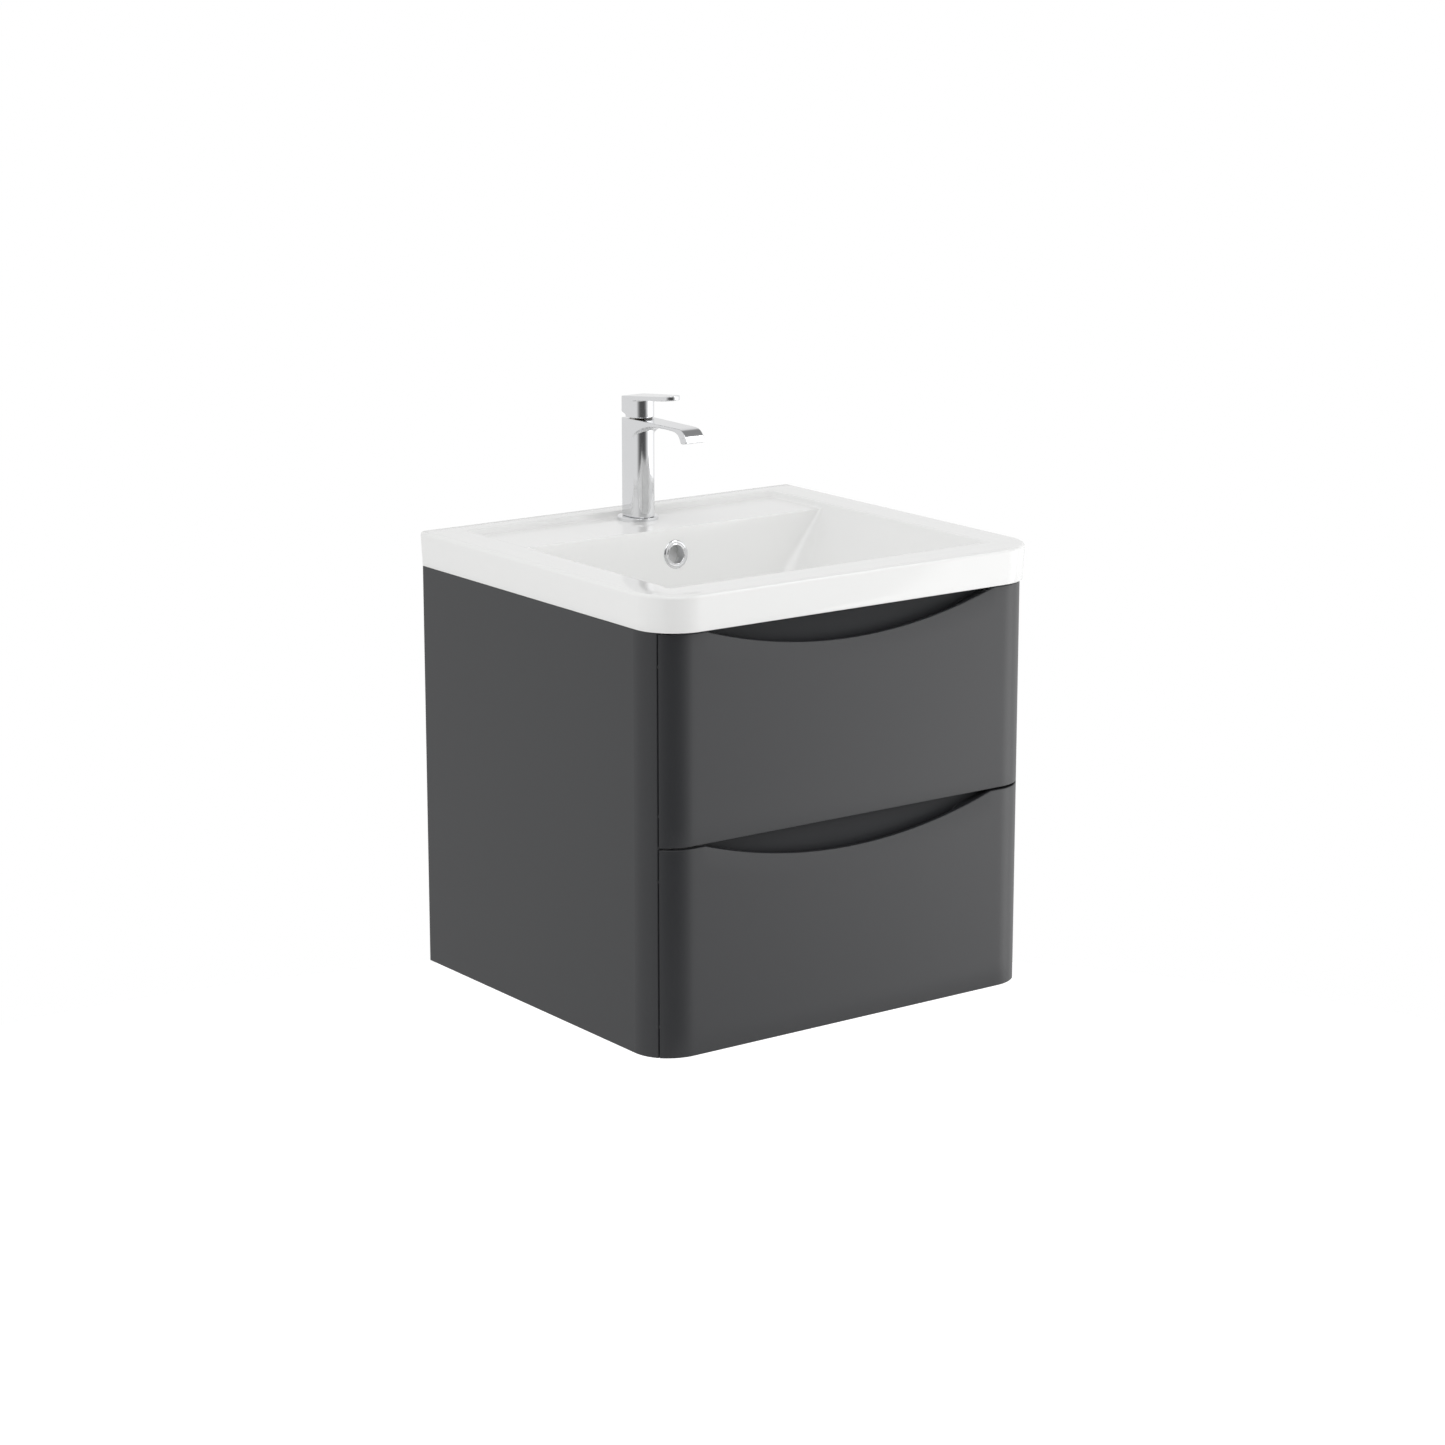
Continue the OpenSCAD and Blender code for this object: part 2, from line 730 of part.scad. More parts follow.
module middle_rail(side, z) {
    color(steel) along_runner(side, z) {
        translate([0, 0, middle_back]) {
            linear_extrude(runner_len - middle_back - middle_front) middle_section();
            translate([strip_t + side_gap, -stop_w / 2, 0])
                cube([middle_near + strip_t / 2 - strip_t - side_gap, stop_w, stop_len]);
        }
        translate([0, 0, runner_len / 2]) for (up = [-1, 1]) {
            ball_row(outer_ball_x, up * (race_outer - ball_space / 2));
            ball_row(inner_ball_x, up * (middle_inner - ball_space / 2));
        }
    }
}

module drawer_rail(side, z) {
    color(steel) along_runner(side, z)
        linear_extrude(runner_len - front_gap - rail_setback) drawer_section();
}

// ---------------------------------------------------------------- basin

// Section of the outer edge: a skirt that draws in downwards, and a rounded rim
module edge_section(reach) {
    low = cabinet_h;
    polygon([[0, low], [reach - skirt_taper, low], [reach, rim_z - basin_edge_r],
             [reach - basin_edge_r, rim_z], [0, rim_z]]);
    translate([reach - basin_edge_r, rim_z - basin_edge_r]) circle(basin_edge_r, $fn = 48);
}

// Slab with rounded front corners: a front strip, a middle and two turned corners
module basin_slab() {
    r = basin_corner_r;
    straight = basin_d - r;
    translate([-(basin_w / 2 - r), 0, 0]) rotate([90, 0, 90]) linear_extrude(basin_w - 2 * r)
        mirror([1, 0, 0]) edge_section(basin_d);
    for (side = [-1, 1]) {
        on_side(side) rotate([90, 0, 0]) linear_extrude(straight) edge_section(basin_w / 2);
        translate([side * (basin_w / 2 - r), -straight, 0]) rotate_extrude() edge_section(r);
    }
}

// Hollow under the slab, inside the skirt
module basin_pocket() {
    inset = skirt_taper + skirt_wall;
    translate([0, 0, cabinet_h - over]) linear_extrude(deck_z - cabinet_h + over) difference() {
        rounded_plan(basin_w - 2 * inset, basin_d - inset, basin_corner_r - inset);
        translate([-basin_w / 2, -skirt_wall]) square([basin_w, skirt_wall + over]);
    }
}

// A ball with points exactly at its poles
module ball(r) {
    rotate_extrude($fn = 32) intersection() {
        circle(r, $fn = 32);
        translate([0, -r]) square([r, 2 * r]);
    }
}

// The bowl as a solid: small corners at the top, wide ones at the floor, flat sloping walls.
// grow is the wall that is added all round.
module bowl(z, grow) {
    r = bowl_top_r + grow;
    half = bowl_half(z) + grow / cos(side_lean);
    rear = bowl_rear(z) + grow / cos(rear_lean);
    front = bowl_front(z) - grow / cos(front_lean);
    hull() for (side = [-1, 1]) {
        for (y = [rear - r, front + r])
            translate([side * (half - r), y, z - eps]) cylinder(r = r, h = eps, $fn = 32);
        for (y = [floor_rear, floor_front])
            translate([side * floor_x, y, floor_centre_z]) ball(bowl_floor_r + grow);
    }
}

// Recess from the rim down to the tap ledge, on the planes of the bowl walls
module recess() {
    r = bowl_top_r + 2;
    hull() for (side = [-1, 1], z = [ledge_z, rim_z + over])
        for (y = [recess_rear(z) - r, bowl_front(z) + r])
            translate([side * (bowl_half(z) - r), y, z]) cylinder(r = r, h = eps, $fn = 32);
}

// Line behind the bowl's rear wall and under its floor, at a distance from its inner face
function channel_line(away, top) = concat(
    [[waste_y, floor_z - away]],
    [for (a = [0 : 15 : 90 - rear_lean])
        [floor_rear + (bowl_floor_r + away) * sin(a), floor_centre_z - (bowl_floor_r + away) * cos(a)]],
    [[bowl_rear(top) + away / cos(rear_lean), top]]);
function backwards(list) = [for (i = [len(list) - 1 : -1 : 0]) list[i]];

module channel(near, far, top, w) {
    rotate([90, 0, 90]) translate([0, 0, -w / 2]) linear_extrude(w)
        polygon(concat(channel_line(near, top), backwards(channel_line(far, top))));
}

// Local +Z runs from the bowl into the ceramic, square to the rear wall
module at_overflow() {
    translate([0, ring_y, ring_z]) rotate([-(90 + rear_lean), 0, 0]) children();
}

module basin() {
    inset = skirt_taper + skirt_wall;
    color(ceramic) difference() {
        union() {
            difference() {
                basin_slab();
                basin_pocket();
            }
            block([-basin_w / 2 + inset - 1, rib_y, cabinet_h], [basin_w / 2 - inset + 1, rib_y + rib_t, deck_z + 1]);
            bowl(deck_z + 1, bowl_wall);
            channel(1, 2 * bowl_wall + channel_d, deck_z + 1, channel_w + 2 * bowl_wall);
            translate([0, waste_y, boss_z]) cylinder(r = boss_r, h = boss_h);
        }
        recess();
        bowl(ledge_z + eps, 0);
        channel(bowl_wall, bowl_wall + channel_d, ring_z + sleeve_r + 1, channel_w);
        at_overflow() translate([0, 0, -over]) cylinder(r = sleeve_r + fit, h = bowl_wall + channel_d / 2 + over);
        translate([0, waste_y, boss_z - over]) cylinder(d = waste_hole_d, h = boss_h + 2 * over);
        translate([0, -tap_hole_y, deck_z - over]) cylinder(d = tap_hole_d, h = deck_t + 2 * over);
    }
}

module overflow_ring() {
    sleeve_end = bowl_wall + channel_d / 6;
    color(chrome) at_overflow() rotate_extrude() polygon([
        [ring_bore / 2, -ring_flange], [sleeve_r, -ring_flange], [sleeve_r, -ring_lip],
        [sleeve_r + ring_lip, -ring_lip], [sleeve_r + ring_lip, -ring_flange],
        [ring_d / 2 - ring_lip, -ring_flange], [ring_d / 2, -ring_flange + ring_lip],
        [ring_d / 2, -fit], [sleeve_r, -fit], [sleeve_r, sleeve_end], [ring_bore / 2, sleeve_end]]);
}

// ---------------------------------------------------------------- waste

module on_waste(z) {
    translate([0, waste_y, z]) children();
}

// Flanged tube with overflow slots and a three-armed hub for the plug's stem
module waste_body() {
    bore_r = waste_bore_d / 2;
    tail_r = waste_tail_d / 2;
    lip = 1.5;
    color(chrome) {
        difference() {
            on_waste(tail_z) rotate_extrude() polygon([
                [bore_r, 0], [tail_r - 1, 0], [tail_r, 1], [tail_r, tail_grip], [tail_r - 1, tail_grip],
                [tail_r - 1, tail_grip + tail_groove], [tail_r, tail_grip + tail_groove],
                [tail_r, waste_top - flange_h - tail_z],
                [waste_flange_d / 2, waste_top - flange_h - tail_z],
                [waste_flange_d / 2, waste_top - lip - tail_z],
                [waste_flange_d / 2 - 2 * lip, waste_top - tail_z],
                [bore_r + 6, waste_top - tail_z], [bore_r, waste_top - 6 - tail_z]]);
            for (turn = [0 : 90 : 270])
                on_waste(slot_z) rotate([0, 0, turn + 45]) translate([0, -5, -channel_d / 2 + 1])
                    cube([waste_tail_d, 10, channel_d - 2]);
        }
        on_waste(hub_z) ring(stem_r + 2.5, stem_r + fit, hub_h);
        for (turn = [90 : 120 : 330])
            on_waste(hub_z) rotate([0, 0, turn]) translate([stem_r + 1, -1.5, 0])
                cube([bore_r - stem_r, 3, hub_h - 4]);
    }
}

module waste_flange_seal() {
    color(rubber) on_waste(floor_z) ring(waste_flange_d / 2 - 3, waste_tail_d / 2 + fit, seal_t);
}

module waste_nut_seal() {
    color(rubber) on_waste(boss_z - nut_seal_t) ring(boss_r - 3, waste_tail_d / 2 + fit, nut_seal_t);
}

module waste_nut() {
    color(brass) on_waste(boss_z - nut_seal_t - waste_nut_h) difference() {
        union() {
            cylinder(r = boss_r - 4, h = waste_nut_h - 4, $fn = 8);
            cylinder(r = boss_r - 1, h = 4);
            translate([0, 0, waste_nut_h - 4]) cylinder(r = boss_r - 1, h = 4);
        }
        translate([0, 0, -over]) cylinder(r = waste_tail_d / 2 + fit, h = waste_nut_h + 2 * over);
    }
}

// Domed cap on a stem that clicks down and up in the hub
module waste_plug() {
    dome_r = 120;
    color(chrome) on_waste(waste_top) {
        intersection() {
            rotate_extrude() polygon([[0, -3], [plug_r - 12, -3], [plug_r - 10, 0.2], [plug_r - 1, 0.2],
                                      [plug_r, 1.2], [plug_r, 3.5], [plug_r - 1, plug_h], [0, plug_h]]);
            translate([0, 0, plug_h - dome_r]) sphere(r = dome_r, $fn = 128);
        }
        translate([0, 0, hub_z - plug_lift - waste_top]) cylinder(r = stem_r, h = waste_top - hub_z + plug_lift);
    }
}

// ---------------------------------------------------------------- tap

module on_tap(z) {
    translate([0, axis_y, z]) children();
}

// Half round in front, straight sides and a flat back
module d_plan(half, back) {
    circle(half);
    translate([-half, 0]) square([2 * half, back]);
}

// Draws a (y, z) outline across the width of the tap
module across(w) {
    rotate([90, 0, 90]) translate([0, 0, -w / 2]) linear_extrude(w) children();
}

// Side view of the spout: flat top, bent-down tip, and an arch that springs from the body
function spout_outline() =
    let (tip = -spout_reach, under = top_z - spout_t, out = ledge_z + outlet_z)
    concat(
        [[0, top_z]],
        curve([[tip + 23.5, top_z], [tip + 9.5, top_z], [tip + 4.5, top_z - 6.3],
               [tip, out + outlet_slant]], 10),
        curve([[tip + outlet_t, out], [tip + outlet_t + 3, out + 10.5], [tip + 23.5, under],
               [tip + 42.5, under]], 10),
        curve([[tip + 42.5, under], [-32, under + 1.5], [0, under - 8], [0, ledge_z + arch_foot]], 16));

module at_outlet() {
    on_tap(ledge_z + outlet_z + outlet_slant / 2) translate([0, -spout_reach + outlet_t / 2, 0])
        rotate([-atan(outlet_slant / outlet_t), 0, 0]) children();
}

module tap_body() {
    pocket_z = nut_top - nut_h - cartridge_h;
    color(chrome) difference() {
        union() {
            on_tap(body_z) linear_extrude(top_z - body_z) d_plan(half_w, body_back);
            on_tap(0) intersection() {
                across(body_w + 2) polygon(spout_outline());
                linear_extrude(top_z + over) polygon([
                    [-half_w, 0], [half_w, 0], [spout_tip_w / 2, -spout_reach], [-spout_tip_w / 2, -spout_reach]]);
            }
        }
        on_tap(pocket_z) cylinder(r = cartridge_r + fit, h = cartridge_h + nut_h + over);
        on_tap(nut_top - nut_h) cylinder(r = nut_r + fit, h = nut_h + over);
        at_outlet() block([-insert_w / 2, -insert_d / 2, -over], [insert_w / 2, insert_d / 2, insert_h]);
        for (side = [-1, 1])
            translate([side * inlet_x, -tap_hole_y - inlet_front, body_z - over])
                cylinder(r = inlet_r, h = inlet_depth + over);
        translate([0, -tap_hole_y + stud_back, body_z - over]) cylinder(r = stud_r + fit, h = inlet_depth + over);
    }
}

module tap_outlet_insert() {
    color(plastic_grey) at_outlet() difference() {
        block([-insert_w / 2, -insert_d / 2, 0], [insert_w / 2, insert_d / 2, insert_h]);
        for (slot = [-2 : 2])
            translate([slot * 4, 0, -over]) cylinder(d = 2.4, h = insert_h + over - 2, $fn = 24);
    }
}

module tap_base_ring() {
    lip = 0.8;
    r = base_ring_d / 2;
    color(chrome) difference() {
        translate([0, -tap_hole_y, ledge_z]) rotate_extrude()
            polygon([[0, 0], [r, 0], [r, base_ring_h - lip], [r - lip, base_ring_h], [0, base_ring_h]]);
        translate([0, -tap_hole_y - service_front, ledge_z - over])
            cylinder(r = service_r, h = base_ring_h + 2 * over);
    }
}

module tap_cartridge() {
    z = nut_top - nut_h - cartridge_h;
    color(plastic_white) on_tap(z) difference() {
        union() {
            cylinder(r = cartridge_r, h = cartridge_h * 0.6);
            translate([0, 0, cartridge_h * 0.6]) cylinder(r = cartridge_r - 1, h = 3);
            translate([0, 0, cartridge_h * 0.6 + 3]) cylinder(r = cartridge_r, h = cartridge_h * 0.4 - 3);
        }
        translate([0, 0, cartridge_h + nut_h - spindle_h - fit]) cylinder(r = spindle_r + fit, h = spindle_h);
    }
}

module tap_cartridge_nut() {
    groove_w = 2 * (stop_pin_r + side_gap);
    groove_h = stop_pin_h + side_gap;
    color(brass) on_tap(nut_top - nut_h) difference() {
        ring(nut_r, spindle_r + fit, nut_h);
        rotate([0, 0, 90 - stop_half]) rotate_extrude(angle = 2 * stop_half)
            translate([stop_arc_r - groove_w / 2, nut_h - groove_h]) square([groove_w, groove_h + over]);
    }
}

// Turns on the nut and carries the hinge of the lever
module tap_turret() {
    color(brass) on_tap(0) difference() {
        union() {
            translate([0, 0, turret_z]) cylinder(r = nut_r + fit - side_gap, h = turret_flange);
            translate([0, 0, turret_z - spindle_h]) cylinder(r = spindle_r, h = spindle_h + eps);
            translate([0, stop_arc_r, turret_z - stop_pin_h]) cylinder(r = stop_pin_r, h = stop_pin_h + eps);
            translate([0, hinge_y, hinge_z]) across(lug_w) {
                circle(lug_r, $fn = 48);
                polygon([[-6, turret_top - hinge_z - 1], [0.6, turret_top - hinge_z - 1],
                         [lug_r - 1, -lug_r + 1], [-lug_r, 0], [-6, -5]]);
            }
        }
        lever_hinge() cylinder(r = lever_pin_r + fit, h = lug_w + 2 * over, center = true);
    }
}

// Local Z runs along the hinge, to the right
module lever_hinge() {
    translate([0, hinge_y, hinge_z]) rotate([0, 90, 0]) children();
}

// Cap over the cartridge with a flat lever that rises to its tip
module tap_handle() {
    rise = tan(lever_rise);
    tip_z = handle_top + (lever_reach + body_back) * rise;
    front_z = handle_top + (half_w + body_back) * rise;
    color(chrome) on_tap(0) difference() {
        union() {
            intersection() {
                linear_extrude(tip_z) d_plan(half_w, body_back);
                across(body_w + 2) polygon([
                    [-half_w - 1, cap_z], [relief_y, cap_z], [relief_y, cap_z + relief_h],
                    [body_back, cap_z + relief_h + relief_rise], [body_back, handle_top],
                    [-half_w - 1, front_z]]);
            }
            intersection() {
                linear_extrude(tip_z) union() {
                    translate([0, -lever_reach + half_w]) circle(half_w);
                    translate([-half_w, -lever_reach + half_w]) square([body_w, lever_reach - half_w + body_back]);
                }
                across(body_w + 2) polygon([
                    [body_back, handle_top], [-lever_reach, tip_z], [-lever_reach, tip_z - lever_t],
                    [body_back, handle_top - lever_t]]);
            }
        }
        difference() {
            translate([0, 0, cap_z - over]) linear_extrude(handle_h - lever_t - 1 + over)
                d_plan(half_w - handle_wall, relief_y - relief_wall);
            for (side = [-1, 1])
                on_side(side) lever_hinge() translate([0, 0, lug_w / 2 + side_gap]) cylinder(r = lug_r, h = half_w);
        }
        lever_hinge() cylinder(r = lever_pin_r + fit, h = body_w - 2 * handle_wall + 2, center = true);
    }
}

module tap_lever_pin() {
    color(steel) on_tap(0) lever_hinge() cylinder(r = lever_pin_r, h = body_w - 2 * handle_wall, center = true);
}

// ---------------------------------------------------------------- tap fixing under the ledge

// Horseshoe that leaves room for the hoses in front of the stud
module horseshoe(z, h) {
    translate([0, -tap_hole_y, z]) linear_extrude(h) difference() {
        circle(washer_r);
        translate([-service_r, -washer_r - over])
            square([2 * service_r, washer_r + over - inlet_front + inlet_r + side_gap]);
        translate([0, stud_back]) circle(stud_r + fit);
    }
}

module tap_rubber_washer() {
    color(rubber) horseshoe(deck_z - rubber_t, rubber_t);
}

module tap_fixing_plate() {
    color(steel) horseshoe(deck_z - rubber_t - fixing_t, fixing_t);
}

module on_stud(z) {
    translate([0, -tap_hole_y + stud_back, z]) children();
}

module tap_fixing_nut() {
    color(brass) on_stud(deck_z - rubber_t - fixing_t - fixing_nut_h) difference() {
        cylinder(r = 1.85 * stud_r, h = fixing_nut_h, $fn = 6);
        translate([0, 0, -over]) cylinder(r = stud_r + fit, h = fixing_nut_h + 2 * over);
    }
}

module tap_stud() {
    low = deck_z - rubber_t - fixing_t - fixing_nut_h - 12;
    color(steel) on_stud(low) cylinder(r = stud_r, h = body_z + inlet_depth - low);
}

// ---------------------------------------------------------------- the assembly

side_panel(-1);  // side_panel_left
side_panel(1);  // side_panel_right
bottom_panel();
front_rail();
rear_top_rail();
rear_low_rail();
hanger(-1);  // hanger_left
hanger(1);  // hanger_right
wall_plate(-1);  // wall_plate_left
wall_plate(1);  // wall_plate_right
front_buffers();
drawer_front(0, lower_box_z, lower_box_h);  // lower_front
box_side(-1, lower_box_z, lower_box_h);  // lower_side_left
box_side(1, lower_box_z, lower_box_h);  // lower_side_right
inner_front(lower_box_z, lower_box_h);  // lower_inner_front
lower_back();
lower_bottom();
color(steel) screws(lower_box_z, lower_box_h);  // lower_front_screws
drawer_front(upper_front_z, upper_box_z, upper_box_h);  // upper_front
box_side(-1, upper_box_z, upper_box_h);  // upper_side_left
box_side(1, upper_box_z, upper_box_h);  // upper_side_right
inner_front(upper_box_z, upper_box_h);  // upper_inner_front
upper_back(-1);  // upper_back_left
upper_back(1);  // upper_back_right
upper_bottom();
upper_bay_collar();
color(steel) screws(upper_box_z, upper_box_h);  // upper_front_screws
cabinet_rail(-1, lower_rail_z);  // lower_cabinet_rail_left
middle_rail(-1, lower_rail_z);  // lower_middle_rail_left
drawer_rail(-1, lower_rail_z);  // lower_drawer_rail_left
cabinet_rail(1, lower_rail_z);  // lower_cabinet_rail_right
middle_rail(1, lower_rail_z);  // lower_middle_rail_right
drawer_rail(1, lower_rail_z);  // lower_drawer_rail_right
cabinet_rail(-1, upper_rail_z);  // upper_cabinet_rail_left
middle_rail(-1, upper_rail_z);  // upper_middle_rail_left
drawer_rail(-1, upper_rail_z);  // upper_drawer_rail_left
cabinet_rail(1, upper_rail_z);  // upper_cabinet_rail_right
middle_rail(1, upper_rail_z);  // upper_middle_rail_right
drawer_rail(1, upper_rail_z);  // upper_drawer_rail_right
basin();
overflow_ring();
waste_body();
waste_flange_seal();
waste_nut();
waste_nut_seal();
waste_plug();
tap_body();
tap_base_ring();
tap_outlet_insert();
tap_cartridge();
tap_cartridge_nut();
tap_turret();
tap_handle();
tap_lever_pin();
tap_stud();
tap_rubber_washer();
tap_fixing_plate();
tap_fixing_nut();
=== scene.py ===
import json, math
import bpy, bmesh
from mathutils import Matrix, Vector


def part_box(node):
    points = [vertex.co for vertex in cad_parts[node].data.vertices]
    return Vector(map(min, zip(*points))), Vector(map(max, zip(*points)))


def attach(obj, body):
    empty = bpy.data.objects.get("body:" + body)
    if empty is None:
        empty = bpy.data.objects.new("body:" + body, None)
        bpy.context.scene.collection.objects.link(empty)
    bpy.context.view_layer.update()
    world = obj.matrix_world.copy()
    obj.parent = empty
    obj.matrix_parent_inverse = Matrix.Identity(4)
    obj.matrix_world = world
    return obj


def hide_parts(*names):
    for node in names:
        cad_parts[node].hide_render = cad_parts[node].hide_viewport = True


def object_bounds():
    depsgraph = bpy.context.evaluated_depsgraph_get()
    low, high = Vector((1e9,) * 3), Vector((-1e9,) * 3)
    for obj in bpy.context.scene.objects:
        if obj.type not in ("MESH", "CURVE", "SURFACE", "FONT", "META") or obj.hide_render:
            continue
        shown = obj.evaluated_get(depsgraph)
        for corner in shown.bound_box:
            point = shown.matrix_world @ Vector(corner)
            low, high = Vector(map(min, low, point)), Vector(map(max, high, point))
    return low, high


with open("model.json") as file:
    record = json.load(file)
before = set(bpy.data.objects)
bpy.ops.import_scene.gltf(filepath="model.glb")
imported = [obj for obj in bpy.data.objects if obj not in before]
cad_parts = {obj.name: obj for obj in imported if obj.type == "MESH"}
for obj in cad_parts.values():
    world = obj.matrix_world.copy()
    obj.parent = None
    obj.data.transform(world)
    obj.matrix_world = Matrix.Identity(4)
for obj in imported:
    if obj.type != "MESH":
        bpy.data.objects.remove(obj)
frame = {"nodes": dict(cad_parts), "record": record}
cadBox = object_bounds()
nodes = frame["nodes"]
scene = bpy.context.scene
scene.view_settings.view_transform = "Standard"
print("frame loaded:", len(nodes), "nodes")


# ---- what every section uses

def linked(name, data):
    item = bpy.data.objects.new(name, data)
    scene.collection.objects.link(item)
    return item


def share(value, start, end):
    # How far a value has come from a start to an end, from 0 to 1
    return min(max((value - start) / (end - start), 0.0), 1.0)


def rgb(r, g, b):
    return (r, g, b, 1.0)


def addNode(tree, kind, inputs=None, **settings):
    # A node with its settings; an input takes a value or another node's output
    node = tree.nodes.new(kind)
    for name, value in settings.items():
        setattr(node, name, value)
    for label, value in (inputs or {}).items():
        if isinstance(value, bpy.types.NodeSocket):
            tree.links.new(value, node.inputs[label])
        else:
            node.inputs[label].default_value = value
    return node


def maths(tree, operation, *values):
    return addNode(tree, "ShaderNodeMath", dict(enumerate(values)), operation=operation).outputs[0]


def newTree(name, kind, inputs, outputs):
    # A node group; an input is a label, a type and a value, an output a label and a type
    tree = bpy.data.node_groups.new(name, kind)
    for label, sort, value in inputs:
        socket = tree.interface.new_socket(name=label, in_out="INPUT", socket_type="NodeSocket" + sort)
        if value is not None:
            socket.default_value = value
    for label, sort in outputs:
        tree.interface.new_socket(name=label, in_out="OUTPUT", socket_type="NodeSocket" + sort)
    return tree, tree.nodes.new("NodeGroupInput").outputs, tree.nodes.new("NodeGroupOutput").inputs


# ---- camera and studio

cameraLook = {"azimuth": 36.08, "elevation": 13.66, "lens": 94.66, "sensor": 36.0, "reach": 4.959,
              "aim": (-0.0128, -0.0016, -0.0362)}


def makeCamera(look):
    low, high = cadBox
    az, el = math.radians(look["azimuth"]), math.radians(look["elevation"])
    forward = Vector((math.sin(az) * math.cos(el), math.cos(az) * math.cos(el), -math.sin(el)))
    target = (Vector(low) + Vector(high)) / 2 + Vector(look["aim"])
    data = bpy.data.cameras.new("camera")
    data.lens, data.sensor_width, data.clip_end = look["lens"], look["sensor"], 200.0
    camera = linked("camera", data)
    camera.location = target - forward * look["reach"]
    camera.rotation_euler = forward.to_track_quat("-Z", "Y").to_euler()
    scene.camera = camera


def newMaterial(name):
    material = bpy.data.materials.new(name)
    material.use_nodes = True
    tree = material.node_tree
    return material, tree, tree.nodes["Principled BSDF"]


studio = {
    "skyLight": 0.88, "darkLevel": 0.10, "brightLevel": 1.4, "ceilingLevel": 0.35,
    "darkSide": (-0.34, -0.93, -0.12), "darkFrom": 0.54, "darkTo": 0.97,
    "brightSide": (0.80, -0.55, -0.20), "brightFrom": 0.45, "brightTo": 1.0,
    "ceilingSide": (0.50, 0.02, 0.86), "ceilingFrom": 0.72, "ceilingTo": 0.96,
    "floorDrop": 0.62, "floorRadius": 2.1, "floorSides": 96, "floorShade": 0.9, "floorGlow": 0.4,
}


def sideRamp(tree, values, side, low, high):
    # A level that changes towards one side of the room
    place = addNode(tree, "ShaderNodeTexCoord").outputs["Generated"]
    towards = addNode(tree, "ShaderNodeVectorMath", {
        0: place, 1: Vector(values[side + "Side"]).normalized()}, operation="DOT_PRODUCT")
    spread = addNode(tree, "ShaderNodeMapRange", {
        "Value": towards.outputs["Value"], "From Min": values[side + "From"], "From Max": values[side + "To"],
        "To Min": low, "To Max": high}, interpolation_type="SMOOTHSTEP")
    return spread.outputs["Result"]


def mixForCamera(tree, other, seen):
    # What the camera sees, and what lights and mirrors see
    camera = addNode(tree, "ShaderNodeLightPath").outputs["Is Camera Ray"]
    return addNode(tree, "ShaderNodeMixShader", {0: camera, 1: other, 2: seen}).outputs["Shader"]


def makeWorld(values):
    # White to the camera; the rest sees a soft room, dim at the camera's end and bright to the right of it
    world = bpy.data.worlds.new("studio")
    scene.world = world
    world.use_nodes = True
    tree = world.node_tree
    tree.nodes.clear()
    sky = values["skyLight"]
    walls = maths(tree, "ADD", sideRamp(tree, values, "dark", sky, values["darkLevel"]),
                  sideRamp(tree, values, "bright", 0.0, values["brightLevel"] - sky))
    level = maths(tree, "MULTIPLY", walls, sideRamp(tree, values, "ceiling", 1.0, values["ceilingLevel"]))
    room, white = [addNode(tree, "ShaderNodeBackground", {"Color": rgb(1, 1, 1), "Strength": strength})
                   for strength in (level, 1.0)]
    both = mixForCamera(tree, room.outputs["Background"], white.outputs["Background"])
    addNode(tree, "ShaderNodeOutputWorld", {"Surface": both})


def makeFloor(values):
    # A pale disc that takes the shadow; clear from below, so the underside can be looked at
    low, high = cadBox
    x, y, z = (low[0] + high[0]) / 2, (low[1] + high[1]) / 2, low[2] - values["floorDrop"]
    radius, count, shade = values["floorRadius"], values["floorSides"], values["floorShade"]
    turns = [2 * math.pi * i / count for i in range(count)]
    mesh = bpy.data.meshes.new("floor")
    mesh.from_pydata([(x + radius * math.cos(t), y + radius * math.sin(t), z) for t in turns],
                     [], [tuple(range(count))])
    floor = linked("floor", mesh)
    material, tree, shader = newMaterial("paleFloor")
    shader.inputs["Base Color"].default_value = rgb(shade, shade, shade)
    shader.inputs["Roughness"].default_value = 0.9
    glow = addNode(tree, "ShaderNodeEmission", {"Strength": values["floorGlow"]})
    bright = addNode(tree, "ShaderNodeAddShader", {
        0: shader.outputs["BSDF"], 1: glow.outputs["Emission"]})
    above = mixForCamera(tree, shader.outputs["BSDF"], bright.outputs["Shader"])
    below = addNode(tree, "ShaderNodeBsdfTransparent").outputs["BSDF"]
    back = addNode(tree, "ShaderNodeNewGeometry").outputs["Backfacing"]
    both = addNode(tree, "ShaderNodeMixShader", {0: back, 1: above, 2: below})
    tree.links.new(both.outputs["Shader"], tree.nodes["Material Output"].inputs["Surface"])
    mesh.materials.append(material)


# name: (place, where it points, width, height, watts, seen in mirrors)
lamps = {
    "rightSoft": ((1.85, -1.70, 0.05), (0.05, -0.5, 0.3), 1.3, 1.7, 10.3, True),
    "leftSoft": ((-3.4, -1.9, 0.9), (0.0, -0.3, 0.4), 3.0, 3.0, 19.0, False),
    "frontSoft": ((-1.7, -3.6, 5.2), (0.0, -0.3, 0.4), 3.4, 3.4, 58.0, True),
    "keySoft": ((2.6, -3.2, 3.6), (0.0, -0.3, 0.4), 1.4, 1.4, 27.0, True),
}


